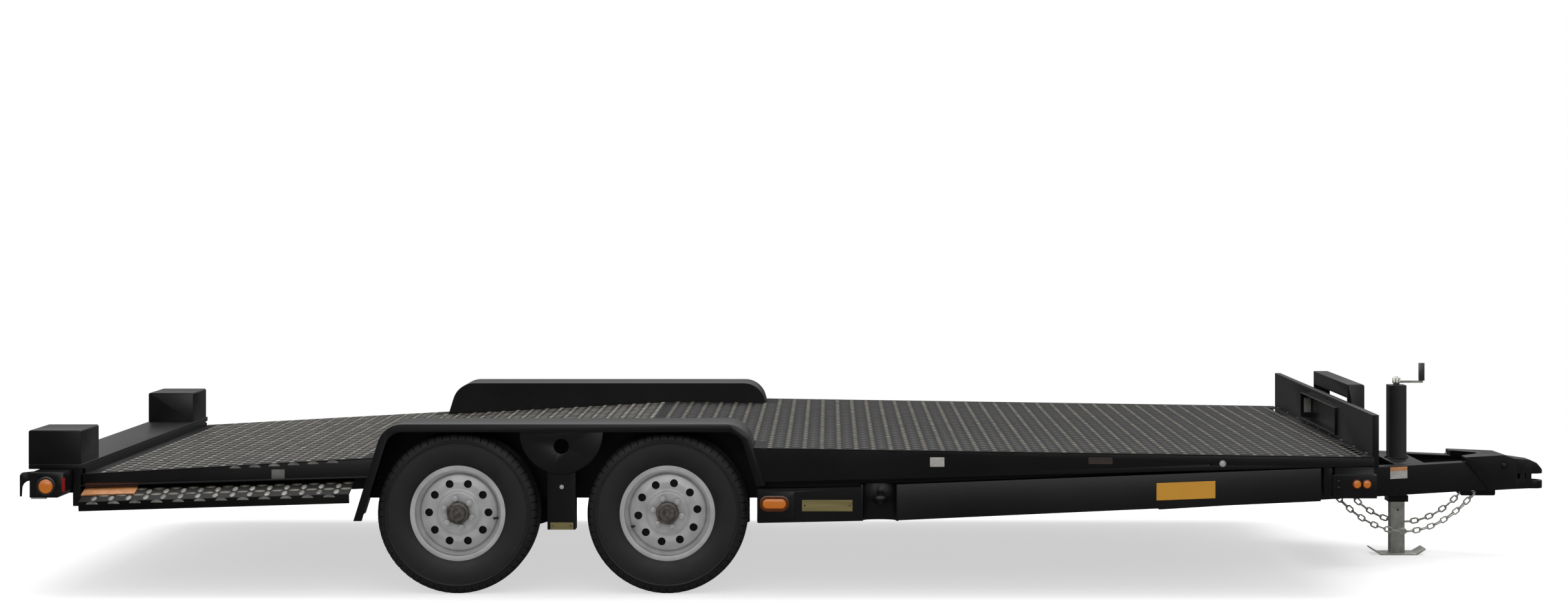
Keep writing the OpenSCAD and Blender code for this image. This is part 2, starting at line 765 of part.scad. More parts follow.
module axle(x) {
    low = tyre_r - axle_tube / 2;
    top = tyre_r + axle_tube / 2;
    seat_l = 50;
    spindle_y = wheel_y + hub_out - 22;
    color(black) {
        block(x - axle_tube / 2, x + axle_tube / 2, -well_y + 8, well_y - 8, low, top);
        both_sides() {
            along_y(-rail_y - 20, -rail_y + 20) {
                difference() {
                    polygon([
                        [x - seat_l, low], [x + seat_l, low],
                        [x + seat_l, hanger_z(x + seat_l)], [x - seat_l, hanger_z(x - seat_l)]]);
                    translate([x, tyre_r]) square(axle_tube, center = true);
                }
                polygon([
                    [x + seat_l - 2, low], [x + hanger_l - hanger_w - 14, hanger_low_z - 14],
                    [x + hanger_l, hanger_low_z], [x + hanger_l, hanger_z(x + hanger_l)],
                    [x + hanger_l - hanger_w, hanger_z(x + hanger_l - hanger_w)],
                    [x + hanger_l - hanger_w, tyre_r - 12], [x + seat_l - 2, tyre_r + 14]]);
            }
            translate([x, -spindle_y, tyre_r]) rotate([-90, 0, 0])
                cylinder(d = spindle_d, h = spindle_y - well_y + 8);
        }
    }
}

module axle_front() { axle(front_axle_x); }
module axle_rear() { axle(rear_axle_x); }

// Wheels are drawn about their own axis, with Z pointing outboard
module at_wheel(x, side) {
    translate([x, side * wheel_y, tyre_r]) rotate([side < 0 ? 90 : -90, 0, 0]) children();
}

bead_r = 165;
groove_w = 7;
module tyre() {
    half = tyre_w / 2;
    tread = half - 22;
    grooves = [-tread / 2, 0, tread / 2];
    color("#1d1d1f") rotate_extrude($fn = 96) difference() {
        polygon(rounded([
            [bead_r, -62, 0], [bead_r + 14, -62, 4], [bead_r + 24, -half + 12, 8],
            [bead_r + 72, -half, 60], [tyre_r - 30, -half + 5, 20], [tyre_r - 3, -tread - 4, 8],
            [tyre_r, -tread / 2, 0], [tyre_r, tread / 2, 0],
            [tyre_r - 3, tread + 4, 8], [tyre_r - 30, half - 5, 20], [bead_r + 72, half, 60],
            [bead_r + 24, half - 12, 8], [bead_r + 14, 62, 4], [bead_r, 62, 0]], 4));
        for (y = grooves) translate([tyre_r - 7, y - groove_w / 2]) square([10, groove_w]);
    }
}

rim_t = 5;
rim_half = 64;
disc_z = 46;
module wheel() {
    color(silver) difference() {
        rotate_extrude($fn = 96) {
            // The rim: two rolled flanges and a dropped middle
            polygon(rounded([
                [rim_r, -rim_half - 3, 2], [rim_r, -rim_half, 2], [bead_r + 4, -rim_half + 1, 3],
                [bead_r, -rim_half + 2, 0], [bead_r, -30, 3], [bead_r - 16, -20, 4],
                [bead_r - 16, 14, 4], [bead_r, 30, 3], [bead_r, rim_half - 2, 0],
                [bead_r + 4, rim_half - 1, 3], [rim_r, rim_half, 2], [rim_r, rim_half + 3, 2],
                [bead_r - rim_t, rim_half + 2, 3], [bead_r - rim_t, 32, 3],
                [bead_r - 16 - rim_t, 18, 4], [bead_r - 16 - rim_t, -22, 4],
                [bead_r - rim_t, -34, 3], [bead_r - rim_t, -rim_half - 3, 0]], 3));
            // The disc: a crowned ring with the hand holes and a raised middle with the studs
            polygon(rounded([
                [42, disc_z - rim_t, 0], [70, disc_z - rim_t, 4], [84, disc_z - 17, 6],
                [hand_hole_ring_r, disc_z - 13, 30], [134, disc_z - 18, 8], [bead_r - rim_t - 15, disc_z - 40, 0],
                [bead_r - rim_t - 8, disc_z - 36, 0], [141, disc_z - 16, 6],
                [hand_hole_ring_r, disc_z - 7, 30], [86, disc_z - 11, 6], [74, disc_z, 4], [42, disc_z, 0]], 3));
        }
        for (i = [0:hand_holes - 1]) rotate(i * 360 / hand_holes + 18)
            translate([hand_hole_ring_r, 0, -rim_half]) cylinder(d = hand_hole_d, h = 2 * rim_half);
        for (i = [0:studs - 1]) rotate(i * 360 / studs)
            translate([stud_ring_r, 0, -rim_half]) cylinder(d = 15, h = 2 * rim_half);
    }
}

hub_r = 41;
hub_out = 88;
module hub() {
    color(zinc) difference() {
        union() {
            rotate_extrude($fn = 64) polygon(rounded([
                [0, -40, 0], [48, -40, 3], [48, 30, 0], [65, 30, 3], [65, disc_z - rim_t, 0],
                [hub_r, disc_z - rim_t, 0], [hub_r, disc_z + 18, 4], [28, disc_z + 22, 3],
                [26, hub_out - 8, 6], [0, hub_out - 4, 0]], 4));
            for (i = [0:studs - 1]) rotate(i * 360 / studs) translate([stud_ring_r, 0, 0]) {
                translate([0, 0, 30]) cylinder(d = 12, h = disc_z - 30 + 24);
                translate([0, 0, disc_z]) cylinder(r = 12, h = 16, $fn = 6);
            }
        }
        translate([0, 0, -41]) cylinder(d = spindle_d + 2 * spindle_gap, h = hub_out - 22 + 41 + 6);
    }
}

// Headboard: a folded plate across the front of the deck, with a framed opening in its middle
board_low = -46;
module headboard() {
    half = side_y - headboard_inset;
    low = deck_z(front_x) + board_low;
    sill = deck_z(front_x) + opening_low;
    color(black) difference() {
        union() {
            block(front_x, front_x + sheet_t, -half, half, low, headboard_z);
            block(front_x, front_x + headboard_d, -half, half, headboard_z - sheet_t, headboard_z);
            both_sides() block(front_x, front_x + headboard_d, -half, -half + sheet_t, low, headboard_z);
        }
        block(front_x - 1, front_x + sheet_t + 1, -opening_w / 2, opening_w / 2, sill,
            headboard_z - opening_top);
        both_sides() translate([front_x - 1, 200, headboard_z - opening_top / 2]) rotate([0, 90, 0])
            cylinder(d = 10, h = sheet_t + 2);
    }
}

// Recess in the opening, folded forward from the headboard and closed in front
rim_out = 8;
module headboard_pocket() {
    sill = deck_z(front_x) + opening_low;
    top = headboard_z - opening_top;
    color(black) difference() {
        block(front_x - rim_out, front_x + pocket_d, -opening_w / 2, opening_w / 2, sill, top);
        block(front_x - rim_out - 1, front_x + pocket_d - sheet_t, -opening_w / 2 + sheet_t,
            opening_w / 2 - sheet_t, sill + sheet_t, top - sheet_t);
    }
}

// Winch arch in front of the headboard: a channel open below, on two legs of folded plate
arch_x = front_x + arch_gap;
arch_r = 10;
leg_fold = 18;
module arch_side(inset) {
    polygon(rounded([
        [arch_x + inset, tongue_top_z - 1, 0], [arch_x + inset, arch_z - inset, 3],
        [arch_x + arch_d - inset, arch_z - inset, arch_r], [arch_x + arch_d - inset, tongue_top_z - 1, 0]]));
}

module winch_arch() {
    half = arch_w / 2;
    color(black) difference() {
        along_y(-half, half) arch_side(0);
        along_y(-half + sheet_t, half - sheet_t) arch_side(sheet_t);
        // Open between the legs under the beam, and open to the front on the legs' inner side
        block(arch_x - 1, arch_x + arch_d + 1, -half + leg_fold, half - leg_fold, 0, arch_z - arch_beam_h);
        block(arch_x - 1, arch_x + arch_d + 1, -half - 1, half + 1, 0, tongue_top_z);
    }
}

// Brackets under the front corners, with the twin lamps
bracket_l = 155;
bracket_low_z = 361;
bracket_top_z = 448;
bracket_d = 90;
module front_brackets() {
    x0 = front_x - bracket_l;
    x1 = front_x + 9;
    color(black) both_sides() {
        difference() {
            block(x0, x1, -side_y, -side_y + bracket_d, bracket_low_z, bracket_top_z);
            block(x0 + sheet_t, x1 - sheet_t, -side_y + sheet_t, -side_y + bracket_d + 1,
                bracket_low_z + sheet_t, bracket_top_z - sheet_t);
        }
        block(x0 + 9, front_x, -side_y + 10, -side_y + flange_w, bracket_top_z, fascia_z(x0 + 9) - seat);
        block(x0 - 32, x0, -side_y + 14, -side_y + 60, bracket_low_z + 6, fascia_z(x0 - 32) - seat);
    }
}

// Tongue beams: the outer faces meet just ahead of the nose
apex_x = nose_x + 20;
tongue_top_z = tongue_low_z + tongue_h;
tongue_run = tan(tongue_angle);
beam_skew = tongue_beam_w / cos(tongue_angle);
function outer_y(x) = (apex_x - x) * tongue_run;
function inner_y(x) = outer_y(x) - beam_skew;
tongue_x0 = nose_x - tongue_reach;
tongue_x1 = nose_x - 222;
module tongue_plan(inset) {
    polygon([
        [tongue_x0, -outer_y(tongue_x0) + inset], [tongue_x1, -outer_y(tongue_x1) + inset],
        [tongue_x1, -inner_y(tongue_x1)],
        [tongue_x0, -inner_y(tongue_x0)]]);
}

module tongue_beam(side) {
    color(black) on_side(side) difference() {
        along_z(tongue_low_z, tongue_top_z) tongue_plan(0);
        along_z(tongue_low_z + sheet_t * 2, tongue_top_z - sheet_t * 2)
            translate([0, 1]) tongue_plan(sheet_t * 2);
    }
}

// What ties the tongue together: the rear crossmember, a gusset and the jack's plate
jack_x = nose_x - jack_back;
jack_leg_w = jack_tube_w - 2 * jack_wall - 2 * leg_gap;
tie_x = front_x + 36;
tie_l = 120;
pin_d = 9;
bar_h = 10;
module tie(x0, x1, z0, z1) {
    along_z(z0, z1) polygon([
        [x0, -inner_y(x0)], [x1, -inner_y(x1)], [x1, inner_y(x1)], [x0, inner_y(x0)]]);
}

module tongue_ties() {
    color(black) {
        block(tongue_x0 - cross_w, tongue_x0, -side_y + block_d + touch, side_y - block_d - touch,
            rail_low_z - cross_w, rail_low_z);
        difference() {
            tie(tie_x, tie_x + tie_l, tongue_low_z, tongue_top_z);
            tie(tie_x - 1, tie_x + tie_l - sheet_t, tongue_low_z + sheet_t, tongue_top_z - sheet_t);
        }
        difference() {
            tie(jack_x - 60, jack_x + 70, tongue_top_z - 10, tongue_top_z);
            block(jack_x - jack_tube_w / 2, jack_x + jack_tube_w / 2, -jack_tube_w / 2, jack_tube_w / 2,
                0, tongue_top_z + 1);
        }
        chain_keepers();
    }
}

// Jack: an outer tube through the tongue's plate, an inner leg, a bent foot and a top crank
module square_tube(w, wall, z0, z1) {
    difference() {
        block(-w / 2, w / 2, -w / 2, w / 2, z0, z1);
        block(-w / 2 + wall, w / 2 - wall, -w / 2 + wall, w / 2 - wall, z0 - 1, z1 + 1);
    }
}

module jack_tube() {
    color(black) translate([jack_x, 0, 0]) {
        square_tube(jack_tube_w, jack_wall, jack_low_z, jack_top_z);
        difference() {
            block(-jack_tube_w / 2, jack_tube_w / 2, -jack_tube_w / 2, jack_tube_w / 2,
                jack_top_z, jack_top_z + 5);
            translate([0, 0, jack_top_z - 1]) cylinder(d = crank_spindle_d + 2 * spindle_gap, h = 8);
        }
        square_tube(jack_tube_w + 12, 6, jack_low_z, jack_low_z + 26);
    }
}

foot_t = 6;
crank_spindle_d = 16;
module jack_leg() {
    color(zinc) translate([jack_x, 0, 0]) difference() {
        square_tube(jack_leg_w, 4, foot_t, foot_t + jack_leg_l);
        translate([0, -jack_leg_w, 183]) rotate([-90, 0, 0]) cylinder(d = 8, h = 2 * jack_leg_w);
    }
}

module jack_foot() {
    color(zinc) translate([jack_x, 0, 0]) along_y(-foot_w / 2, foot_w / 2) polygon(rounded([
        [-75, 0, 8], [75, 0, 8], [foot_l / 2, 22, 0], [foot_l / 2, 22 + foot_t, 0],
        [73, foot_t, 4], [-73, foot_t, 4], [-foot_l / 2, 22 + foot_t, 0], [-foot_l / 2, 22, 0]], 4));
}

crank_z = jack_top_z + 5 + touch;
module crank_arm() {
    color(zinc) translate([jack_x, 0, 0]) {
        translate([0, 0, jack_top_z - 12]) cylinder(d = crank_spindle_d, h = crank_z - jack_top_z + 12);
        translate([0, 0, crank_z]) cylinder(d = 26, h = 8);
        translate([0, 0, crank_z + 8]) difference() {
            cylinder(d = 34, h = 20);
            for (i = [0:7]) rotate(i * 45) translate([19, 0, 4]) cylinder(d = 7, h = 20);
        }
        translate([0, 0, crank_z + 28]) cylinder(d = 14, h = 6, $fn = 6);
        translate([0, -6, crank_z + 8]) cube([crank_throw, 12, 9]);
        translate([crank_throw, 0, crank_z + 8]) cylinder(d = 12, h = 22);
    }
}

module crank_grip() {
    color(black) translate([jack_x + crank_throw, 0, crank_z + 17.3]) difference() {
        cylinder(d = 25, h = grip_l);
        translate([0, 0, -1]) cylinder(d = 12.6, h = 14);
    }
}

// Coupler: a pressed shell over the beams' front ends, drawn in to a housing over the ball
socket_x = nose_x - socket_back;
throat_low_z = 305;
throat_top_z = 334;
coupler_low_z = 273;
coupler_top_z = 416;
socket_top_z = throat_top_z + 18;
shell_low_z = 275;
cheek_z = 326;
arm_x = nose_x - coupler_l;
arm_t = 6;
skew = 1 / cos(tongue_angle);
module coupler_side() {
    polygon(rounded([
        [arm_x, tongue_top_z + 3, 0], [nose_x - 240, shell_low_z, 0], [nose_x - 135, shell_low_z, 6],
        [nose_x - 27, coupler_low_z, 0],
        [nose_x - 27, throat_low_z, 0], [nose_x - 52, throat_low_z, 3], [nose_x - 52, throat_top_z, 3],
        [nose_x, throat_top_z, 2], [nose_x, 346, 12], [nose_x - 30, 378, 24], [nose_x - 58, 391, 12],
        [nose_x - 130, 399, 20], [nose_x - 180, coupler_top_z, 20], [arm_x, coupler_top_z, 4]], 5));
}

// Plan of the shell: out is how far it stands off the beams' outer faces
module coupler_plan(out) {
    cheek_x = nose_x - 110;
    half = [[arm_x - 1, outer_y(arm_x - 1) + out * skew, 0], [cheek_x, outer_y(cheek_x) + out * skew, 30],
        [nose_x - 60, 42, 30], [nose_x, 40, 38]];
    polygon(rounded(concat([for (p = half) [p.x, -p.y, p.z]], [for (i = [3:-1:0]) half[i]]), 6));
}

// Room for the beams, and the notch between the shell's two arms
module beam_room() {
    along_z(0, tongue_top_z + touch) intersection() {
        coupler_plan(touch);
        translate([0, -side_y]) square([tongue_x1 + touch, deck_w]);
    }
}

module arm_notch() {
    along_z(0, high) polygon([
        [arm_x - 2, -inner_y(arm_x) + 12], [arm_x + 85, -24], [arm_x + 85, 24], [arm_x - 2, inner_y(arm_x) - 12]]);
}

module cheek_opening(x, w, l) {
    translate([x, 0, cheek_z]) rotate([90, 0, 0]) linear_extrude(deck_w, center = true) {
        square([w, l], center = true);
        for (end = [-l / 2, l / 2]) translate([0, end]) circle(d = w);
    }
}

module coupler() {
    color(black) difference() {
        intersection() {
            along_y(-deck_w / 4, deck_w / 4) coupler_side();
            along_z(0, high) coupler_plan(touch + arm_t);
        }
        beam_room();
        arm_notch();
        // The ball's way in from below, its seat and the crown above it
        translate([socket_x, 0, 0]) {
            cylinder(d = socket_d + 6, h = throat_top_z);
            cylinder(d = socket_d, h = socket_top_z);
            translate([0, 0, socket_top_z - 1]) cylinder(d1 = socket_d - 2, d2 = socket_d / 2, h = 12);
        }
        // Openings pressed through both cheeks beside the ball
        cheek_opening(socket_x - 70, 12, 12);
        cheek_opening(socket_x - 38, 5, 20);
    }
}

// Lower jaw across the front of the throat
module coupler_jaw() {
    color(black) difference() {
        intersection() {
            block(nose_x - 27 + touch, nose_x, -40, 40, coupler_low_z, throat_low_z);
            along_z(0, high) coupler_plan(0);
        }
        translate([socket_x, 0, 0]) cylinder(d = socket_d + 6, h = throat_top_z);
    }
}

// Chains: links on a hanging curve, each turned a quarter from the last
link_step = link_l - 0.5;
bow = (link_w + wire_d) / 2;
hold = (link_l + wire_d) / 2;
pin_hold = link_l / 2 - 0.5 - pin_d / 2;
function hang(s, curve) = let (u = s / curve, r = sqrt(u * u + 1))
    [curve * ln(u + r), 0, curve * (r - 1)];
function chain_n(side) = side < 0 ? links_right : links_left;
function chain_curve(side) = side < 0 ? curve_right : curve_left;
function half_chain(side) = (chain_n(side) - 1) / 2 * link_step;
function chain_end(side) = hang(half_chain(side), chain_curve(side));
function chain_steep(side) = atan(half_chain(side) / chain_curve(side));
function chain_yaw(side) = asin((chain_rear_y - chain_front_y) / 2 / chain_end(side).x);
function chain_mid_x(side) = nose_x - chain_back - (side < 0 ? 0 : hook_shift)
    - chain_end(side).x * cos(chain_yaw(side));
function chain_low_z(side) = chain_end_z - chain_end(side).z;

// Where the end links are held: over the bracket's bar in front, round a pin behind
function bar_x(side) = chain_mid_x(side)
    + (chain_end(side).x + hold * cos(chain_steep(side))) * cos(chain_yaw(side));
function bar_y(side) = chain_front_y - (hold - wire_d) * cos(chain_steep(side)) * sin(chain_yaw(side));
function bar_z(side) = chain_end_z + hold * sin(chain_steep(side)) - wire_d / 2 - 0.9;
function pin_x(side) = chain_mid_x(side)
    - (chain_end(side).x + pin_hold * cos(chain_steep(side))) * cos(chain_yaw(side));
function pin_z(side) = chain_end_z + pin_hold * sin(chain_steep(side));

module chain_link() {
    straight = (link_l - link_w) / 2;
    for (end = [-1, 1]) {
        translate([end * straight, 0, 0]) rotate(end > 0 ? -90 : 90) rotate_extrude(angle = 180, $fn = 32)
            translate([bow, 0]) circle(d = wire_d, $fn = 16);
        translate([-straight, end * bow, 0]) rotate([0, 90, 0]) cylinder(d = wire_d, h = 2 * straight, $fn = 16);
    }
}

module safety_chain(side) {
    last = chain_n(side) - 1;
    color(zinc) on_side(side)
        translate([chain_mid_x(side), -(chain_front_y + chain_rear_y) / 2, chain_low_z(side)])
            rotate(chain_yaw(side)) for (i = [0:last]) {
                s = (i - last / 2) * link_step;
                translate(hang(s, chain_curve(side))) rotate([0, -atan(s / chain_curve(side)), 0])
                    rotate([(last - i) % 2 * 90, 0, 0]) chain_link();
            }
}

// Slotted plates below the coupler, whose lower bars pass through the chains' front links
slot_reach = 12;
module chain_brackets() {
    color(black) for (side = [-1, 1]) on_side(side)
        along_y(-bar_y(side) - 3, -bar_y(side) + 3) difference() {
            x0 = bar_x(1) - slot_reach - 13;
            x1 = tongue_x1 + 22;
            low = bar_z(side) - bar_h;
            polygon(rounded([
                [x0, low, 8], [x1, low, 8], [x1, shell_low_z, 0], [tongue_x1 - 8, shell_low_z, 0],
                [tongue_x1 - 8, shell_low_z + 12, 4], [x0, shell_low_z + 12, 8]]));
            translate([bar_x(1) - slot_reach, bar_z(side)])
                square([bar_x(-1) - bar_x(1) + 2 * slot_reach, 12]);
        }
}

// Ears below the tongue's tie with a pin through the chains' rear links
ear_t = 5;
ear_gap = 10;
module chain_keepers() {
    y = chain_rear_y;
    for (side = [-1, 1]) on_side(side) {
        x = pin_x(side);
        z = pin_z(side);
        for (y0 = [-y - ear_gap - ear_t, -y + ear_gap]) along_y(y0, y0 + ear_t) polygon(rounded([
            [x - pin_d, z - pin_d, 6], [x + pin_d, z - pin_d, 6],
            [x + pin_d, tongue_low_z, 0], [x - pin_d, tongue_low_z, 0]]));
        translate([x, -y - ear_gap - ear_t, z]) rotate([-90, 0, 0])
            cylinder(d = pin_d, h = 2 * (ear_gap + ear_t));
    }
}

module deck_fascia_right() { deck_fascia(-1); }
module deck_fascia_left() { deck_fascia(1); }
module side_beam_right() { side_beam(-1); }
module side_beam_left() { side_beam(1); }
module fender_right() { fender(-1); }
module fender_left() { fender(1); }
module wheel_well_right() { wheel_well(-1); }
module wheel_well_left() { wheel_well(1); }
module tongue_beam_right() { tongue_beam(-1); }
module tongue_beam_left() { tongue_beam(1); }
module safety_chain_right() { safety_chain(-1); }
module safety_chain_left() { safety_chain(1); }

deck_main();
deck_tail();
deck_fascia_right();
deck_fascia_left();
side_beam_right();
side_beam_left();
crossmembers();
main_rails();
tail_fascias();
side_steps();
rear_bumper();
tail_boxes();
lamp_boxes();
rear_hooks();
tail_lamps();
side_reflectors();
marker_lamps();
marker_bezels();
fender_right();
fender_left();
wheel_well_right();
wheel_well_left();
pivot_posts();
axle_front();
axle_rear();
headboard();
headboard_pocket();
winch_arch();
front_brackets();
tongue_beam_right();
tongue_beam_left();
tongue_ties();
jack_tube();
coupler();
coupler_jaw();
chain_brackets();
safety_chain_right();
safety_chain_left();
jack_leg();
jack_foot();
crank_arm();
crank_grip();
at_wheel(front_axle_x, -1) tyre();  // tyre_front_right
at_wheel(front_axle_x, 1) tyre();  // tyre_front_left
at_wheel(rear_axle_x, -1) tyre();  // tyre_rear_right
at_wheel(rear_axle_x, 1) tyre();  // tyre_rear_left
at_wheel(front_axle_x, -1) wheel();  // wheel_front_right
at_wheel(front_axle_x, 1) wheel();  // wheel_front_left
at_wheel(rear_axle_x, -1) wheel();  // wheel_rear_right
at_wheel(rear_axle_x, 1) wheel();  // wheel_rear_left
at_wheel(front_axle_x, -1) hub();  // hub_front_right
at_wheel(front_axle_x, 1) hub();  // hub_front_left
at_wheel(rear_axle_x, -1) hub();  // hub_rear_right
at_wheel(rear_axle_x, 1) hub();  // hub_rear_left
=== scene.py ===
# Black tandem-axle car trailer: finishes, tread, tyres, lamps, fasteners and welds around the frame.
import json
import math

import bmesh
import bpy
from mathutils import Matrix, Vector


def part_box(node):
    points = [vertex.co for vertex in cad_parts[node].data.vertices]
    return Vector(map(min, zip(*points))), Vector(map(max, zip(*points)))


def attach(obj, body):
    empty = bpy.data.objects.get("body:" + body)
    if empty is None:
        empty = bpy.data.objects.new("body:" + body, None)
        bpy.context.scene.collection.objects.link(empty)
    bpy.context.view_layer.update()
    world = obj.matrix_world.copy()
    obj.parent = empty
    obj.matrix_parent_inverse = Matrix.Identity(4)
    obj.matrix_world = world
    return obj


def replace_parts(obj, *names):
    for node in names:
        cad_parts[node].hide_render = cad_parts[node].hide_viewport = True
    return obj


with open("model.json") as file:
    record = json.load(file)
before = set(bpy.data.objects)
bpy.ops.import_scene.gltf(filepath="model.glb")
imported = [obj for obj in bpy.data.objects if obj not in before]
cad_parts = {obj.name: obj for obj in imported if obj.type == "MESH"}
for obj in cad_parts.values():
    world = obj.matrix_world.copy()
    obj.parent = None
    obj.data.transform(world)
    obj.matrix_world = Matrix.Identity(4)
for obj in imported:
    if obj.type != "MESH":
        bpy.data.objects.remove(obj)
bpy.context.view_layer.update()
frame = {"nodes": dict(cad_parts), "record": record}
nodes = frame["nodes"]
mm = 0.001
print("frame loaded:", len(nodes), "nodes")


def linear(hexColor):
    # sRGB hex to the linear colour that a socket takes
    parts = [int(hexColor[i:i + 2], 16) / 255 for i in (1, 3, 5)]
    return [c / 12.92 if c < 0.04045 else ((c + 0.055) / 1.055) ** 2.4 for c in parts] + [1]


def setNode(tree, node, settings):
    # A name in lower case is the node's own option; any other is an input, which gets a value or a link.
    # A node given as a value stands for its first output.
    for name, value in settings.items():
        if isinstance(value, bpy.types.Node):
            value = value.outputs[0]
        if isinstance(name, str) and name[0].islower():
            setattr(node, name, value)
        elif isinstance(value, bpy.types.NodeSocket):
            tree.links.new(value, node.inputs[name])
        else:
            node.inputs[name].default_value = value
    return node


def addNode(tree, kind, settings=None):
    return setNode(tree, tree.nodes.new(kind), settings or {})


def newMaterial(name, settings):
    material = bpy.data.materials.new(name)
    material.use_nodes = True
    tree = material.node_tree
    shader = setNode(tree, tree.nodes["Principled BSDF"], settings)
    coords = addNode(tree, "ShaderNodeTexCoord").outputs["Object"]
    return material, tree, shader, coords


def dress(tree, shader, factor, colours, height, depth, strength):
    # Colour runs between two hex values by a factor, and the height raises the surface
    mix = addNode(tree, "ShaderNodeMix", {
        "data_type": "RGBA", "Factor": factor, 6: linear(colours[0]), 7: linear(colours[1])})
    bump = addNode(tree, "ShaderNodeBump", {"Strength": strength, "Distance": depth, "Height": height})
    setNode(tree, shader, {"Base Color": mix.outputs[2], "Normal": bump})


noiseMiddle = {"From Min": 0.3, "From Max": 0.7}    # where nearly all of a noise's values lie
maths = "ShaderNodeMath"


def coat(look):
    # Clouds tint it, a fine grain raises it, and its gloss may follow either; sizes are in millimetres
    material, tree, shader, coords = newMaterial(look["name"], look["sockets"])
    maps = {}
    for part in ("cloud", "grain"):
        size, detail, rough = look[part]
        maps[part] = addNode(tree, "ShaderNodeTexNoise", {
            "Scale": 1 / (size * mm), "Detail": detail, "Roughness": rough, "Vector": coords})
    if "spangle" in look:
        cells = addNode(tree, "ShaderNodeTexVoronoi", {"Scale": 1 / (look["spangle"] * mm), "Vector": coords})
        maps["spangle"] = addNode(tree, "ShaderNodeSeparateColor", {"Color": cells.outputs["Color"]})
    ranged = {}
    for use in ("tint", "gloss"):
        if use in look:
            source, low, high = look[use]
            ranged[use] = addNode(tree, "ShaderNodeMapRange", {
                **noiseMiddle, "To Min": low, "To Max": high, "Value": maps[source]})
    if "gloss" in ranged:
        setNode(tree, shader, {"Roughness": ranged["gloss"]})
    depth, strength = look["bump"]
    tint = ranged.get("tint", maps["cloud"])
    dress(tree, shader, tint, look["colours"], maps["grain"], depth * mm, strength)
    return material


coats = {
    # Polyester powder coat, sprayed and baked: a closed skin with a fine orange peel, semi-gloss
    "powder": {"name": "powder_coat_black", "sockets": {"IOR": 1.42, "Roughness": 0.3},
               "colours": ("#08080a", "#111114"), "cloud": (350, 3, 0.5), "grain": (1.6, 1, 0.5),
               "gloss": ("cloud", 0.27, 0.36), "bump": (0.03, 0.5)},
    # The same coat on rolled tread plate: duller from traffic, with grey dust in the hollows
    "tread": {"name": "powder_coat_tread_plate", "sockets": {"IOR": 1.2, "Roughness": 0.5},
              "colours": ("#060606", "#0f0e0d"), "cloud": (220, 4, 0.5), "grain": (3.0, 2, 0.5),
              "tint": ("cloud", 0, 1), "gloss": ("grain", 0.46, 0.6), "bump": (0.05, 0.5)},
    # Vulcanised tyre rubber: matt carbon black with a faint bloom
    "rubber": {"name": "vulcanised_tyre_rubber", "sockets": {"IOR": 1.52, "Roughness": 0.62},
               "colours": ("#0d0d0f", "#18181a"), "cloud": (60, 4, 0.5), "grain": (0.8, 2, 0.5),
               "gloss": ("cloud", 0.55, 0.7), "bump": (0.05, 0.4)},
    # Silver wheel enamel with aluminium flake, satin
    "silver": {"name": "silver_wheel_enamel", "sockets": {"Metallic": 0.3, "Roughness": 0.38},
               "colours": ("#9b9b9b", "#b0b0b1"), "cloud": (70, 3, 0.5), "grain": (0.9, 1, 0.5),
               "tint": ("cloud", 0, 1), "gloss": ("grain", 0.32, 0.44), "bump": (0.02, 0.4)},
    # Electroplated zinc on drawn steel: cool grey with faint cloudy spangle
    "zinc": {"name": "zinc_plated_steel", "sockets": {"Metallic": 0.45, "Roughness": 0.36},
             "colours": ("#9a9a94", "#bdbdb7"), "cloud": (30, 3, 0.5), "grain": (1.5, 2, 0.5), "spangle": 9,
             "tint": ("cloud", 0, 1), "gloss": ("spangle", 0.3, 0.42), "bump": (0.03, 0.5)},
    # Turned cast steel of the hubs' ends, brown-grey with a film of grease
    "cast": {"name": "greased_cast_steel", "sockets": {"Metallic": 0.5, "Roughness": 0.4},
             "colours": ("#3f3c38", "#6a6660"), "cloud": (15, 3, 0.5), "grain": (15, 3, 0.5),
             "tint": ("cloud", 0, 1), "gloss": ("cloud", 0.3, 0.5), "bump": (0.05, 0.4)},
    # Injection-moulded black nylon and rubber
    "plastic": {"name": "moulded_black_nylon", "sockets": {"IOR": 1.5, "Roughness": 0.5},
                "colours": ("#141415", "#1e1e20"), "cloud": (0.7, 2, 0.5), "grain": (0.7, 2, 0.5),
                "bump": (0.04, 0.5)},
}
# Raised bars of the tread plate: painted highlight on the coat, warm grey in patches, in three strengths: the
# brightest on the tail's and steps' long bars, the faintest on the front deck's cross bars
for key, name, colours, patch in (("wornLugs", "worn_lugs", ("#211f1d", "#5e594f"), 50),
                                  ("dimLugs", "coated_lugs", ("#0a0a0a", "#1e1c1a"), 80),
                                  ("paleLugs", "polished_lugs", ("#353533", "#7d7c78"), 50)):
    coats[key] = {"name": name, "sockets": {"IOR": 1.3, "Metallic": 0.2}, "colours": colours,
                  "cloud": (patch, 4, 0.65), "grain": (2, 2, 0.5), "tint": ("cloud", 0.1, 1),
                  "gloss": ("grain", 0.28, 0.46), "bump": (0.05, 0.4)}
# Polyester label, left bare: satin film with a slightly uneven face
for key, name, colours in (("whiteLabel", "bare_pale_label", ("#9a9893", "#86847f")),
                           ("greyLabel", "bare_grey_label", ("#6d6d6b", "#5a5a59")),
                           ("darkLabel", "bare_dark_label", ("#2a2320", "#33261e")),
                           ("orangeLabel", "bare_orange_label", ("#b07a4a", "#96623a"))):
    coats[key] = {"name": name, "sockets": {"IOR": 1.5, "Roughness": 0.4}, "colours": colours,
                  "cloud": (20, 3, 0.5), "grain": (20, 3, 0.5), "tint": ("cloud", 0, 1), "bump": (0.05, 0.3)}
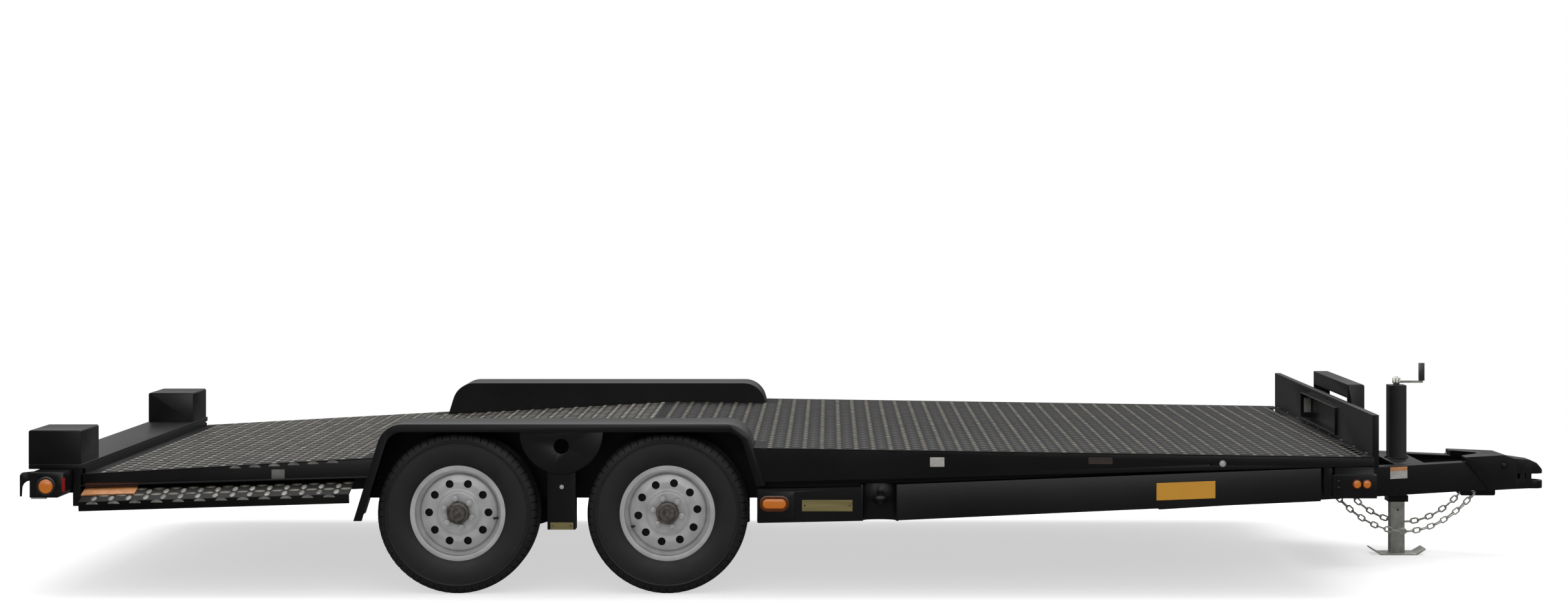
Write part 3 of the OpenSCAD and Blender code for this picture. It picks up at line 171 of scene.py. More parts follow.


# Amber and red acrylic over a prism backing: rings of small prisms, with the light they catch painted into
# the colour as lighter cells
def lensAcrylic(name, light, dark, pitch):
    material, tree, shader, coords = newMaterial(name, {
        "IOR": 1.49, "Roughness": 0.12, "Coat Weight": 0.6, "Coat Roughness": 0.05})
    # The wave's angle is 20 times its scaled coordinate, so a prism is one pitch wide
    scale = math.pi / (20 * pitch * mm)
    across, up = (addNode(tree, "ShaderNodeTexWave", {
        "wave_type": "BANDS", "bands_direction": axis, "Scale": scale, "Vector": coords}).outputs["Fac"]
        for axis in ("X", "Z"))
    prisms = addNode(tree, maths, {"operation": "MULTIPLY", 0: across, 1: up})
    # The lens is deeper in colour where the eye looks through it at a slant
    slant = addNode(tree, "ShaderNodeLayerWeight", {"Blend": 0.35}).outputs["Facing"]
    upright = addNode(tree, maths, {"operation": "SUBTRACT", 0: 1.0, 1: slant})
    # Painted glints: the colour is lighter on the prisms' cells, less so where the lens is seen at a slant
    clear = addNode(tree, maths, {"operation": "MULTIPLY", 0: prisms, 1: upright})
    dress(tree, shader, clear, (dark, light), prisms, 0.3 * mm, 0.4)
    return material


# Brushed brass sheet, lacquered: straight fine grain along X
def brassSheet():
    material, tree, shader, coords = newMaterial("brushed_brass_sheet", {"Metallic": 0.8, "Roughness": 0.35})
    drawn = addNode(tree, "ShaderNodeMapping", {"Scale": (8, 400, 900), "Vector": coords})
    grain = addNode(tree, "ShaderNodeTexNoise", {"Scale": 1.0, "Detail": 2, "Vector": drawn})
    streaks = addNode(tree, "ShaderNodeMapRange", {**noiseMiddle, "Value": grain})
    dress(tree, shader, streaks, ("#8f8257", "#b9ab78"), grain, 0.02 * mm, 0.4)
    return material


finish = {key: coat(look) for key, look in coats.items()}
finish["brass"] = brassSheet()
finish["amber"] = lensAcrylic("amber_acrylic_lens", "#d9822c", "#9c5216", 2.2)
finish["reflector"] = lensAcrylic("amber_prism_reflector", "#c39034", "#a4762a", 1.6)
finish["rim"] = lensAcrylic("dark_amber_lamp_body", "#6a3210", "#3c1c0a", 3.0)
finish["red"] = lensAcrylic("red_acrylic_lens", "#a01818", "#5c0a0a", 2.2)
print("finishes made:", len(finish))


def newPiece(name, mesh, body, material, angle=35):
    piece = bpy.data.objects.new(name, mesh)
    bpy.context.scene.collection.objects.link(piece)
    if material is not None:
        mesh.materials.clear()
        mesh.materials.append(material)
    if angle is not None:
        mesh.shade_smooth()
        mesh.set_sharp_from_angle(angle=math.radians(angle))
    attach(piece, body)
    return piece


def fromBmesh(name, bm, body, material, angle=35):
    bmesh.ops.remove_doubles(bm, verts=bm.verts, dist=1e-6)
    bmesh.ops.recalc_face_normals(bm, faces=bm.faces)
    mesh = bpy.data.meshes.new(name)
    bm.to_mesh(mesh)
    bm.free()
    return newPiece(name, mesh, body, material, angle)


def evaluatedMesh(name, mesh, kind, setUp):
    # Runs one modifier on a mesh and keeps the result as a plain mesh
    carrier = bpy.data.objects.new(name + "_carrier", mesh)
    bpy.context.scene.collection.objects.link(carrier)
    setUp(carrier.modifiers.new("shape", kind))
    bpy.context.view_layer.update()
    evaluated = carrier.evaluated_get(bpy.context.evaluated_depsgraph_get())
    result = bpy.data.meshes.new_from_object(evaluated)
    bpy.data.objects.remove(carrier)
    result.name = name
    return result


def grow(name, tree, values, look, body, baseMesh=None, angle=35):
    settings = {**values, "Finish": finish[look]}

    def setUp(modifier):
        modifier.node_group = tree
        for item in tree.interface.items_tree:
            if item.item_type == "SOCKET" and item.in_out == "INPUT" and item.name in settings:
                modifier[item.identifier] = settings[item.name]

    mesh = evaluatedMesh(name, baseMesh or bpy.data.meshes.new(name), "NODES", setUp)
    return newPiece(name, mesh, body, None, angle)


def newTree(name, inputs):
    tree = bpy.data.node_groups.new(name, "GeometryNodeTree")
    tree.interface.new_socket("Geometry", in_out="OUTPUT", socket_type="NodeSocketGeometry")
    for label, kind in {**inputs, "Finish": "Material"}.items():
        tree.interface.new_socket(label, in_out="INPUT", socket_type="NodeSocket" + kind)
    source = addNode(tree, "NodeGroupInput").outputs
    return tree, source


def endTree(tree, geometry, source):
    real = addNode(tree, "GeometryNodeRealizeInstances", {"Geometry": geometry})
    painted = addNode(tree, "GeometryNodeSetMaterial", {
        "Geometry": real, "Material": source["Finish"]})
    addNode(tree, "NodeGroupOutput", {"Geometry": painted})


# Every node that keeps its shape gets its finish; folded steel is rebuilt with rounded edges
bevels = {
    "deck_fascia_right": 2.0, "deck_fascia_left": 2.0, "side_beam_right": 2.0, "side_beam_left": 2.0,
    "tail_fascias": 1.2, "side_steps": 1.5, "rear_bumper": 1.6, "lamp_boxes": 1.6, "tail_boxes": 1.2,
    "fender_right": 1.4, "fender_left": 1.4, "pivot_posts": 1.5, "headboard": 1.4,
    "headboard_pocket": 1.4, "winch_arch": 1.5, "front_brackets": 1.6, "tongue_beam_right": 3.5,
    "tongue_beam_left": 3.5, "tongue_ties": 1.2, "jack_tube": 1.8, "jack_leg": 1.8, "jack_foot": 1.5,
    "coupler": 2.0, "coupler_jaw": 2.0, "chain_brackets": 1.2,
    "main_rails": 1.5, "crossmembers": 1.5, "deck_main": 1.2, "deck_tail": 1.2,
}
slotFinish = {
    "black_powder_coat": "powder", "tread_plate": "tread", "silver_paint": "silver", "hub_steel": "silver",
    "zinc_plate": "zinc", "tyre_rubber": "rubber", "black_plastic": "plastic", "amber_lens": "amber",
    "amber_reflector": "reflector", "red_lens": "red",
}
bodyOf = {n: body for body, members in frame["record"]["behaviour"]["bodies"].items() for n in members}
slotOf = {entry["node"]: entry["material_slot"] for entry in frame["record"]["subparts"]}


def mergedCopy(node):
    # A node's loose triangles, joined where they meet
    bm = bmesh.new()
    bm.from_mesh(nodes[node].data)
    bmesh.ops.remove_doubles(bm, verts=bm.verts, dist=0.02 * mm)
    return bm


def standIn(node, suffix, mesh, angle):
    look = finish[slotFinish[slotOf[node]]]
    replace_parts(newPiece(node + suffix, mesh, bodyOf[node], look, angle), node)


def roundedCopy(node, width):
    bm = mergedCopy(node)
    bmesh.ops.dissolve_limit(bm, angle_limit=math.radians(0.6), verts=bm.verts, edges=bm.edges)
    mesh = bpy.data.meshes.new(node + "_steel")
    bm.to_mesh(mesh)
    bm.free()
    mesh.shade_smooth()

    def setUp(bevel):
        bevel.width = width * mm
        bevel.segments = 2
        bevel.limit_method = "ANGLE"
        bevel.angle_limit = math.radians(28)
        bevel.harden_normals = True
        bevel.use_clamp_overlap = True

    standIn(node, "_steel", evaluatedMesh(node + "_steel", mesh, "BEVEL", setUp), None)


def smoothCopy(node, angle, spin=0.0):
    # Turned and pressed parts keep their shape and get one skin, smooth across its facets
    bm = mergedCopy(node)
    if spin:
        low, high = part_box(node)
        bmesh.ops.rotate(bm, verts=bm.verts, cent=(low + high) / 2, matrix=Matrix.Rotation(spin, 3, "Y"))
    mesh = bpy.data.meshes.new(node + "_skin")
    bm.to_mesh(mesh)
    bm.free()
    standIn(node, "_skin", mesh, angle)


smoothed = {"crank_arm": 30, "crank_grip": 35, "rear_hooks": 35, "axle_front": 30, "axle_rear": 30,
            "side_reflectors": 30, "tail_lamps": 30}
# A wheel stops at any angle: the two near ones stand as in the photograph
spins = {"rear_right": math.radians(18), "front_right": math.radians(12), "rear_left": math.radians(31),
         "front_left": math.radians(5)}
for node, obj in nodes.items():
    obj.data.materials.clear()
    obj.data.materials.append(finish[slotFinish[slotOf[node]]])
    if node in bevels:
        roundedCopy(node, bevels[node])
    elif node in smoothed or node.startswith(("wheel_front", "wheel_rear", "hub_")):
        spin = next((angle for place, angle in spins.items() if node.endswith(place)), 0.0)
        smoothCopy(node, smoothed.get(node, 24), spin)
print("steel dressed:", len(bevels), "nodes")

# Tread: raised bars in a square lattice, each turned a quarter from its neighbours
lug = {"pitchX": 32.25 * mm, "pitchY": 35 * mm, "long": 43 * mm, "wide": 21 * mm, "height": 2.2 * mm,
       "top": 0.5, "phase": 8 * mm, "border": 14 * mm}


def lugTree():
    tree, source = newTree("treadLugs", {
        "Count X": "Int", "Count Y": "Int", "Pitch Y": "Float", "Parity": "Float", "Notch X": "Float",
        "Notch Side": "Float", "Notch Half": "Float", "Tilt": "Vector", "Place": "Vector"})
    sizes = []
    for count, pitch in (("Count X", lug["pitchX"]), ("Count Y", source["Pitch Y"])):
        gaps = addNode(tree, maths, {"operation": "SUBTRACT", 0: source[count], 1: 1.0})
        sizes.append(addNode(tree, maths, {"operation": "MULTIPLY", 0: gaps, 1: pitch}))
    grid = addNode(tree, "GeometryNodeMeshGrid", {
        "Size X": sizes[0], "Size Y": sizes[1],
        "Vertices X": source["Count X"], "Vertices Y": source["Count Y"]})
    # The grid numbers its points column by column: this finds each point's row and column
    index = addNode(tree, "GeometryNodeInputIndex")
    middle = addNode(tree, maths, {"operation": "ADD", 0: index, 1: 0.5})
    share = addNode(tree, maths, {"operation": "DIVIDE", 0: middle, 1: source["Count Y"]})
    row = addNode(tree, maths, {"operation": "FLOOR", 0: share})
    before = addNode(tree, maths, {"operation": "MULTIPLY", 0: row, 1: source["Count Y"]})
    column = addNode(tree, maths, {"operation": "SUBTRACT", 0: index, 1: before})
    odd = [addNode(tree, maths, {"operation": "MODULO", 0: line, 1: 2.0}) for line in (row, column)]
    match = [addNode(tree, maths, {"operation": "COMPARE", 0: line, 1: source["Parity"]}) for line in odd]
    ours = addNode(tree, maths, {"operation": "MULTIPLY", 0: match[0], 1: match[1]})
    # Lugs stay inside the narrow part of the plate, or past the end of the notch for the wheels
    place = addNode(tree, "ShaderNodeSeparateXYZ", {
        "Vector": addNode(tree, "GeometryNodeInputPosition")}).outputs
    aside = addNode(tree, maths, {"operation": "ABSOLUTE", 0: place["Y"]})
    inside = addNode(tree, maths, {"operation": "LESS_THAN", 0: aside, 1: source["Notch Half"]})
    ahead, limit = (addNode(tree, maths, {"operation": "MULTIPLY", 0: value, 1: source["Notch Side"]})
                    for value in (place["X"], source["Notch X"]))
    past = addNode(tree, maths, {"operation": "GREATER_THAN", 0: ahead, 1: limit})
    allowed = addNode(tree, maths, {"operation": "MAXIMUM", 0: inside, 1: past})
    keep = addNode(tree, maths, {"operation": "MULTIPLY", 0: ours, 1: allowed})
    ring = addNode(tree, "GeometryNodeMeshCircle", {"fill_type": "NGON", "Vertices": 8, "Radius": 0.5})
    raised = addNode(tree, "GeometryNodeExtrudeMesh", {"Offset Scale": 1.0, "Mesh": ring})
    topped = addNode(tree, "GeometryNodeScaleElements", {
        "Scale": lug["top"], "Geometry": raised, "Selection": raised.outputs["Top"]})
    shaped = addNode(tree, "GeometryNodeTransform", {
        "Scale": (lug["long"], lug["wide"], lug["height"]), "Geometry": topped})
    even = addNode(tree, maths, {"operation": "SUBTRACT", 0: 1.0, 1: odd[0]})
    quarter = addNode(tree, maths, {"operation": "MULTIPLY", 0: even, 1: math.pi / 2})
    turn = addNode(tree, "ShaderNodeCombineXYZ", {"Z": quarter})
    spots = addNode(tree, "GeometryNodeInstanceOnPoints", {
        "Points": grid, "Selection": keep, "Instance": shaped,
        "Rotation": turn})
    flat = addNode(tree, "GeometryNodeRealizeInstances", {"Geometry": spots})
    tilted = addNode(tree, "GeometryNodeTransform", {
        "Geometry": flat, "Rotation": source["Tilt"], "Translation": source["Place"]})
    endTree(tree, tilted, source)
    return tree


lugs = lugTree()


def layLugs(name, start, end, half, looks, notch=(0.0, 1.0, 9.0), lean=0.0, pitchY=lug["pitchY"]):
    # Covers a sloping strip from its rear end to its front end; the notch is kept free beside the wheels
    first = start.x + lug["border"] - lug["phase"]
    first = math.ceil(first / (2 * lug["pitchX"])) * 2 * lug["pitchX"] + lug["phase"]
    countX = int((end.x - lug["border"] - first) / lug["pitchX"]) + 1
    countY = int((half - lug["border"]) * 2 / pitchY)
    middleX = first + (countX - 1) * lug["pitchX"] / 2
    share = (middleX - start.x) / (end.x - start.x)
    middle = start.lerp(end, share)
    tilt = -math.atan2(end.z - start.z, end.x - start.x)
    notchX, notchSide, notchHalf = notch
    for parity, (look, part) in enumerate(zip(looks, ("_long", "_cross"))):
        grow(name + part, lugs, {
            "Count X": countX, "Count Y": countY, "Pitch Y": pitchY, "Parity": float(parity),
            "Notch Side": notchSide, "Notch X": notchX - middle.x, "Notch Half": notchHalf,
            "Tilt": (lean, tilt, 0.0), "Place": tuple(middle)}, look, "chassis", angle=20)


mainLow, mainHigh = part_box("deck_main")
tailLow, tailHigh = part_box("deck_tail")
wellLow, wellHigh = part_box("wheel_well_right")
wellY = -wellHigh.y - 6 * mm
deck = {"fold": 555 * mm, "foldX": -676 * mm, "frontFall": 41 * mm, "frontLength": 2736 * mm,
        "tailFall": 116 * mm, "tailLength": 2092 * mm, "notchGap": 10 * mm}
# Painted highlight on the bars: middle on the front deck's long bars and faintest on its cross bars,
# brightest on the tail's long bars and middle on its cross bars
layLugs("tread_front", Vector((mainLow.x, 0, deck["fold"])),
        Vector((mainHigh.x, 0, deck["fold"] - deck["frontFall"])), mainHigh.y, ("wornLugs", "dimLugs"),
        (wellHigh.x + deck["notchGap"], 1.0, wellY))
layLugs("tread_tail", Vector((tailLow.x, 0, deck["fold"] - deck["tailFall"])),
        Vector((tailHigh.x, 0, deck["fold"])), tailHigh.y, ("paleLugs", "wornLugs"),
        (wellLow.x - deck["notchGap"], -1.0, wellY))
step = {"inner": 1013 * mm, "outer": 1140 * mm, "innerZ": 387 * mm, "fall": 39 * mm, "rise": 0.03,
        "x": -2753 * mm, "length": 1006 * mm, "lugPitch": 26 * mm}
stepStart = Vector((step["x"], 0, step["innerZ"] - step["fall"] / 2))
stepEnd = stepStart + Vector((step["length"], 0, step["length"] * step["rise"]))
# The steps' bars carry the same painted highlight as the tail's
for side in (-1, 1):
    across = Vector((0, side * (step["inner"] + step["outer"]) / 2, 0))
    layLugs("tread_step_right" if side < 0 else "tread_step_left", stepStart + across, stepEnd + across,
            math.hypot(step["outer"] - step["inner"], step["fall"]) / 2, ("paleLugs", "wornLugs"),
            lean=-side * math.atan2(step["fall"], step["outer"] - step["inner"]), pitchY=step["lugPitch"])
print("tread laid")

# Tyres: ribbed tread with short cuts across each shoulder, smooth sidewalls with fine rings
tyre = {"cuts": 62, "cutDepth": 5 * mm, "cutShare": 0.16, "grooveDepth": 7 * mm, "grooveHalf": 4 * mm,
        "bead": 165 * mm, "ringHeight": 1.2 * mm}


def tyreProfile(radius, half):
    # (radius, across, is it cut at the shoulder). The wall's points stand above the bead and the shoulder's
    # below the crown, in millimetres, each at a share of half the width.
    wall = [(0, 0.70), (10, 0.74), (15, 0.80), (22, 0.87), (24, 0.885), (40, 0.955), (60, 0.99), (76, 1.0)]
    shoulder = [(22, 0.93, 0), (16, 0.90, 1), (9, 0.85, 1), (3.5, 0.78, 1), (1.2, 0.70, 1), (0.6, 0.60, 0)]
    side = [(tyre["bead"] + rise * mm, share * half, 0) for rise, share in wall]
    for r in (radius - 42 * mm, radius - 34 * mm):
        side += [(r, 0.985 * half, 0), (r + 1 * mm, 0.985 * half + tyre["ringHeight"], 0),
                 (r + 3 * mm, 0.98 * half + tyre["ringHeight"], 0), (r + 4 * mm, 0.975 * half, 0)]
    side += [(radius - drop * mm, share * half, cut) for drop, share, cut in shoulder]
    crown = []
    for middle in (0.36 * half, 0.0):
        for share, drop in ((1.35, 0), (1.0, 1), (-1.0, 1), (-1.35, 0)):
            across = middle + share * tyre["grooveHalf"]
            crown.append((radius - (tyre["grooveDepth"] if drop else 0), across, 0))
    outer = side + crown
    inner = [(r, -w, cut) for r, w, cut in reversed(side + crown[:4])]
    return outer + inner


def buildTyre(place):
    low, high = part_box("tyre_" + place)
    radius, half = (high.z - low.z) / 2, (high.y - low.y) / 2
    centre = (low + high) / 2
    profile = tyreProfile(radius, half)
    bm = bmesh.new()
    rings = []
    pitch = 2 * math.pi / tyre["cuts"]
    cut = tyre["cutShare"]
    shares = ((0.0, 0), (0.42 - cut / 2, 0), (0.45 - cut / 2, 1), (0.39 + cut / 2, 1), (0.42 + cut / 2, 0),
              (0.78, 0))
    for k in range(tyre["cuts"]):
        for share, inCut in shares:
            angle = (k + share) * pitch
            direction = Vector((math.cos(angle), 0, math.sin(angle)))
            rings.append([bm.verts.new(centre + direction * (r - (tyre["cutDepth"] if inCut and isCut else 0))
                                       + Vector((0, w, 0))) for r, w, isCut in profile])
    for a, b in zip(rings, rings[1:] + rings[:1]):
        for i in range(len(profile) - 1):
            bm.faces.new((a[i], a[i + 1], b[i + 1], b[i]))
        bm.faces.new((a[-1], a[0], b[0], b[-1]))
    piece = fromBmesh("tyre_" + place + "_rubber", bm, place + "_wheel", finish["rubber"], 40)
    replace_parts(piece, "tyre_" + place)


places = ("front_right", "front_left", "rear_right", "rear_left")
for place in places:
    buildTyre(place)
print("tyres built")


def lathe(bm, profile, matrix, segments=48):
    # profile is (radius, height) from the middle outwards or closed on itself; ends on the axis are poles
    turns = [2 * math.pi * k / segments for k in range(segments)]
    rings = [[bm.verts.new(matrix @ Vector((r * math.cos(turn), r * math.sin(turn), h)))
              for turn in (turns if r > 0 else turns[:1])] for r, h in profile]
    for a, b in zip(rings, rings[1:]):
        for k in range(segments):
            j = (k + 1) % segments
            quad = [a[k % len(a)], a[j % len(a)], b[j % len(b)], b[k % len(b)]]
            unique = list(dict.fromkeys(quad))
            if len(unique) > 2:
                bm.faces.new(unique)


def facing(centre, axis, spin=0.0):
    # A matrix that turns local Z to an outward axis
    aim = Vector(axis).normalized().to_track_quat("Z", "Y").to_matrix().to_4x4()
    return Matrix.Translation(centre) @ aim @ Matrix.Rotation(spin, 4, "Z")


# Behind each disc a black drum stands in for the shade inside the wheel and makes the hand holes dark;
# outside, a turned cap and a valve. The profiles are (radius, height) in millimetres from the disc's middle.
valveSeat = {"ring": 146 * mm, "out": 16 * mm, "lean": 0.35}
holeShadeDrum = [(67, 18), (67, 22), (122, 22), (128, 18), (128, -40), (124, -40), (124, 18), (67, 18)]
cap = [(42, 45), (42, 61), (39, 66), (31, 68), (29.5, 71), (28.5, 85), (25.5, 88.6), (17, 89), (16, 86.5),
       (9, 86.5), (8, 88.6), (0, 89)]
valve = [(5.5, 0), (5.5, 6), (4, 9), (3.6, 24), (4.4, 25), (4.4, 33), (0, 34)]
valveAngles = {"rear_right": -9, "front_right": 202, "rear_left": 60, "front_left": 130}
for place in places:
    low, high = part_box("wheel_" + place)
    middle = (low + high) / 2
    outSide = -1 if middle.y < 0 else 1
    hubFrame = facing(middle, (0, outSide, 0))
    # The drum is a dark piece that stands in for the shade inside the wheel
    for name, profile, look, slot in (("brake_drum", holeShadeDrum, "powder", "black_powder_coat"),
                                      ("hub_cap", cap, "cast", "hub_steel")):
        bm = bmesh.new()
        lathe(bm, [(r * mm, h * mm) for r, h in profile], hubFrame, 64)
        fromBmesh(name + "_" + place, bm, place + "_wheel", finish[look], 32)
    angle = math.radians(valveAngles[place])
    ray = Vector((math.cos(angle), 0, math.sin(angle)))
    sideways = Vector((0, outSide, 0))
    foot = middle + ray * valveSeat["ring"] + sideways * valveSeat["out"]
    bm = bmesh.new()
    lathe(bm, [(r * mm, h * mm) for r, h in valve], facing(foot, sideways - ray * valveSeat["lean"]), 16)
    fromBmesh("tyre_valve_" + place, bm, place + "_wheel", finish["plastic"], 32)
print("drums, caps and valves turned")

# Lamps: domed acrylic lenses in soft black bezels
roundLamp = {"lens": 27 * mm, "bezel": 36 * mm, "dome": 9 * mm, "stand": 9 * mm}
smallLamp = {"lens": 15 * mm, "bezel": 18 * mm, "dome": 5 * mm, "stand": 7 * mm}
sideY = mainHigh.y
lensGap = 0.4 * mm


def roundMarker(lensMesh, bezelMesh, lamp, x, side, z):
    base = facing((x, side * sideY, z), (0, side, 0))
    h, r, sunk = lamp["stand"], lamp["bezel"], 3 * mm
    dome = [(0, h + lamp["dome"])]
    for angle in (math.pi / 16 * i for i in range(1, 9)):
        dome.append((lamp["lens"] * math.sin(angle), h - sunk + (lamp["dome"] + sunk) * math.cos(angle)))
    lathe(lensMesh, dome + [(lamp["lens"], 2 * mm), (0, 2 * mm)], base)
    gap = lamp["lens"] + lensGap
    lathe(bezelMesh, [(gap, 0), (gap, h - 1 * mm), (gap + 1 * mm, h), (r - 4 * mm, h),
                      (r - 1 * mm, h - 2.5 * mm), (r, h - 6 * mm), (r, 0), (gap, 0)], base)


def stadiumRing(centreX, centreZ, y, half, radius, count=12):
    points = []
    for end in (1, -1):
        for k in range(count + 1):
            angle = -math.pi / 2 + math.pi * k / count + (0 if end > 0 else math.pi)
            points.append(Vector((centreX + end * half + radius * math.cos(angle), y,
                                  centreZ + radius * math.sin(angle))))
    return points


def loft(bm, rings, capped=False):
    made = [[bm.verts.new(p) for p in ring] for ring in rings]
    for a, b in zip(made, made[1:]):
        for k in range(len(a)):
            j = (k + 1) % len(a)
            bm.faces.new((a[k], a[j], b[j], b[k]))
    if capped:
        bm.faces.new(made[0])
        bm.faces.new(list(reversed(made[-1])))


oval = {"x": -168 * mm, "z": 343 * mm, "half": 26 * mm, "lens": 18.5 * mm, "bezel": 29 * mm, "plate": 5 * mm}
tailMarker = {"x": -2870 * mm, "z": 407 * mm}
frontMarkers = {"xs": (2031 * mm, 1994 * mm), "z": 415 * mm}
lensMesh, bezelMesh, rimMesh = bmesh.new(), bmesh.new(), bmesh.new()
for side in (-1, 1):
    roundMarker(lensMesh, bezelMesh, roundLamp, tailMarker["x"], side, tailMarker["z"])
    for x in frontMarkers["xs"]:
        roundMarker(lensMesh, rimMesh, smallLamp, x, side, frontMarkers["z"])
    y = side * (sideY + oval["plate"])
    steps = [(oval["lens"], 1 * mm), (oval["lens"], 6 * mm), (oval["lens"] - 2 * mm, 9 * mm),
             (oval["lens"] - 6 * mm, 11 * mm), (oval["lens"] - 12 * mm, 12 * mm)]
    loft(lensMesh, [stadiumRing(oval["x"], oval["z"], y + side * h, oval["half"], r) for r, h in steps],
         capped=True)
    inner, outer = oval["lens"] + lensGap, oval["bezel"]
    rim = [(inner, 0), (inner, 7 * mm), (inner + 1 * mm, 8 * mm), (outer - 3 * mm, 8 * mm), (outer, 5 * mm),
           (outer, 0), (inner, 0)]
    loft(rimMesh, [stadiumRing(oval["x"], oval["z"], y + side * h, oval["half"], r) for r, h in rim])
lenses = fromBmesh("marker_lenses", lensMesh, "chassis", finish["amber"])
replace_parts(lenses, "marker_lamps")
bezels = fromBmesh("marker_lamp_bezels", bezelMesh, "chassis", finish["plastic"])
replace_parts(bezels, "marker_bezels")
fromBmesh("marker_lamp_bodies", rimMesh, "chassis", finish["rim"])
print("lamps built")


def slab(bm, corners, normal, thickness, radius=0.0, count=4):
    # A thin plate on a face: corners run round it, and it stands out along the normal
    outline = []
    n = len(corners)
    for i in range(n):
        here, before, after = Vector(corners[i]), Vector(corners[i - 1]), Vector(corners[(i + 1) % n])
        if radius <= 0:
            outline.append(here)
            continue
        a, b = here + (before - here).normalized() * radius, here + (after - here).normalized() * radius
        for k in range(count + 1):
            t = k / count
            outline.append((1 - t) ** 2 * a + 2 * t * (1 - t) * here + t ** 2 * b)
    lift = Vector(normal).normalized() * thickness
    loft(bm, [outline, [p + lift for p in outline]], capped=True)


# Bare plates and labels: (x0, x1, z0, z1, y, finish, thickness), all without print
plates = {
    "brass_plate": (-65, 122, 314, 356, -1140, "brass", 1.2),
    "post_plate": (-1000, -915, 245, 271, -1128, "brass", 1.2),
    "fascia_label_rear": (410, 463, 479, 514, -1140, "whiteLabel", 0.4),
    "fascia_label_front": (998, 1087, 489, 514, -1140, "darkLabel", 0.4),
    "tail_label": (-2059, -2010, 420, 456, -1017, "greyLabel", 0.4),
}
for name, (x0, x1, z0, z1, y, look, thick) in plates.items():
    bm = bmesh.new()
    x0, x1, z0, z1, y = (v * mm for v in (x0, x1, z0, z1, y))
    slab(bm, [(x0, y, z0), (x1, y, z0), (x1, y, z1), (x0, y, z1)], (0, -1, 0), thick * mm, 2 * mm)
    fromBmesh(name, bm, "chassis", finish[look])

# The tongue's label lies on the near beam's slanting outer face; another is inside the headboard's recess
tongue = {"apex": 3000 * mm, "angle": math.radians(25), "labelX": (2286, 2362)}
recess = {"x": (2066, 2096), "y": 386, "z": (550, 612)}


def tongueY(x, out=0.0):
    return -(tongue["apex"] - x) * math.tan(tongue["angle"]) - out


outward = (-math.sin(tongue["angle"]), -math.cos(tongue["angle"]), 0)
ends = [(x * mm, tongueY(x * mm)) for x in tongue["labelX"]]
inRecess = [(x * mm, recess["y"] * mm) for x in recess["x"]]
for name, (back, fore), (z0, z1), normal, look in (
        ("tongue_label_head", ends, (376, 391), outward, "orangeLabel"),
        ("tongue_label", ends, (344, 375.7), outward, "whiteLabel"),
        ("recess_label", inRecess, recess["z"], (0, -1, 0), "whiteLabel")):
    bm = bmesh.new()
    z0, z1 = z0 * mm, z1 * mm
    slab(bm, [(*back, z0), (*fore, z0), (*fore, z1), (*back, z1)], normal, 0.4 * mm, 1 * mm)
    fromBmesh(name, bm, "chassis", finish[look])

# Tail: a long amber lens in the corner above each step, with a ribbed lower half that lies on the step, a
# red lens at the end of each lamp box and a pale lamp strip below it. Corners and sizes are in millimetres.
tailStrips = {
    "tail_amber_lens": {
        "corners": [(-2755, 1013, 388), (-2556, 1013, 394), (-2556, 1013, 408), (-2755, 1013, 406)],
        "out": (0, 1, 0), "thick": 18, "round": 2, "slot": "amber_lens", "look": "rim"},
    "tail_red_strip": {
        "corners": [(-2812, 1138, 386), (-2800, 1138, 386), (-2800, 1138, 438), (-2812, 1138, 438)],
        "out": (0, 1, 0), "thick": 4, "round": 2, "slot": "red_lens", "look": "red"},
    "tail_pale_strip": {
        "corners": [(-2928, 1118, 364.5), (-2873, 1118, 364.5), (-2873, 1134, 364.5), (-2928, 1134, 364.5)],
        "out": (0, 0, -1), "thick": 6, "round": 1, "slot": "black_plastic", "look": "whiteLabel"},
}
ribs = {"x0": -2755 * mm, "x1": -2556 * mm, "count": 34, "share": 0.9, "inner": 1.030, "outer": 1.088,
        "innerDrop": 5 * mm, "outerDrop": 22.5 * mm, "out": (0.293, 0.956), "thick": 5 * mm}
for side, label in ((-1, "right"), (1, "left")):
    for name, strip in tailStrips.items():
        bm = bmesh.new()
        outX, outY, outZ = strip["out"]
        slab(bm, [Vector((x, side * y, z)) * mm for x, y, z in strip["corners"]], (outX, side * outY, outZ),
             strip["thick"] * mm, strip["round"] * mm)
        fromBmesh(name + "_" + label, bm, "chassis", finish[strip["look"]])
    bm = bmesh.new()
    pitch = (ribs["x1"] - ribs["x0"]) / ribs["count"]
    for k in range(ribs["count"]):
        a = ribs["x0"] + pitch * k
        b = a + pitch * ribs["share"]
        za, zb = (step["innerZ"] + step["rise"] * (x - stepStart.x) for x in (a, b))
        innerY, outerY = side * ribs["inner"], side * ribs["outer"]
        slab(bm, [(a, innerY, za - ribs["innerDrop"]), (b, innerY, zb - ribs["innerDrop"]),
                  (b, outerY, zb - ribs["outerDrop"]), (a, outerY, za - ribs["outerDrop"])],
             (0, side * ribs["out"][0], ribs["out"][1]), ribs["thick"])
    fromBmesh("tail_ribbed_lens_" + label, bm, "chassis", finish["orangeLabel"])
print("labels and tail lenses placed")


def spotMesh(name, spots):
    # Points that carry a turn and a size, for trees that set one thing down many times
    mesh = bpy.data.meshes.new(name)
    mesh.from_pydata([tuple(place) for place, turn, size in spots], [], [])
    for label, column in (("turn", 1), ("size", 2)):
        layer = mesh.attributes.new(label, "FLOAT_VECTOR", "POINT")
        layer.data.foreach_set("vector", [v for spot in spots for v in spot[column]])
    return mesh


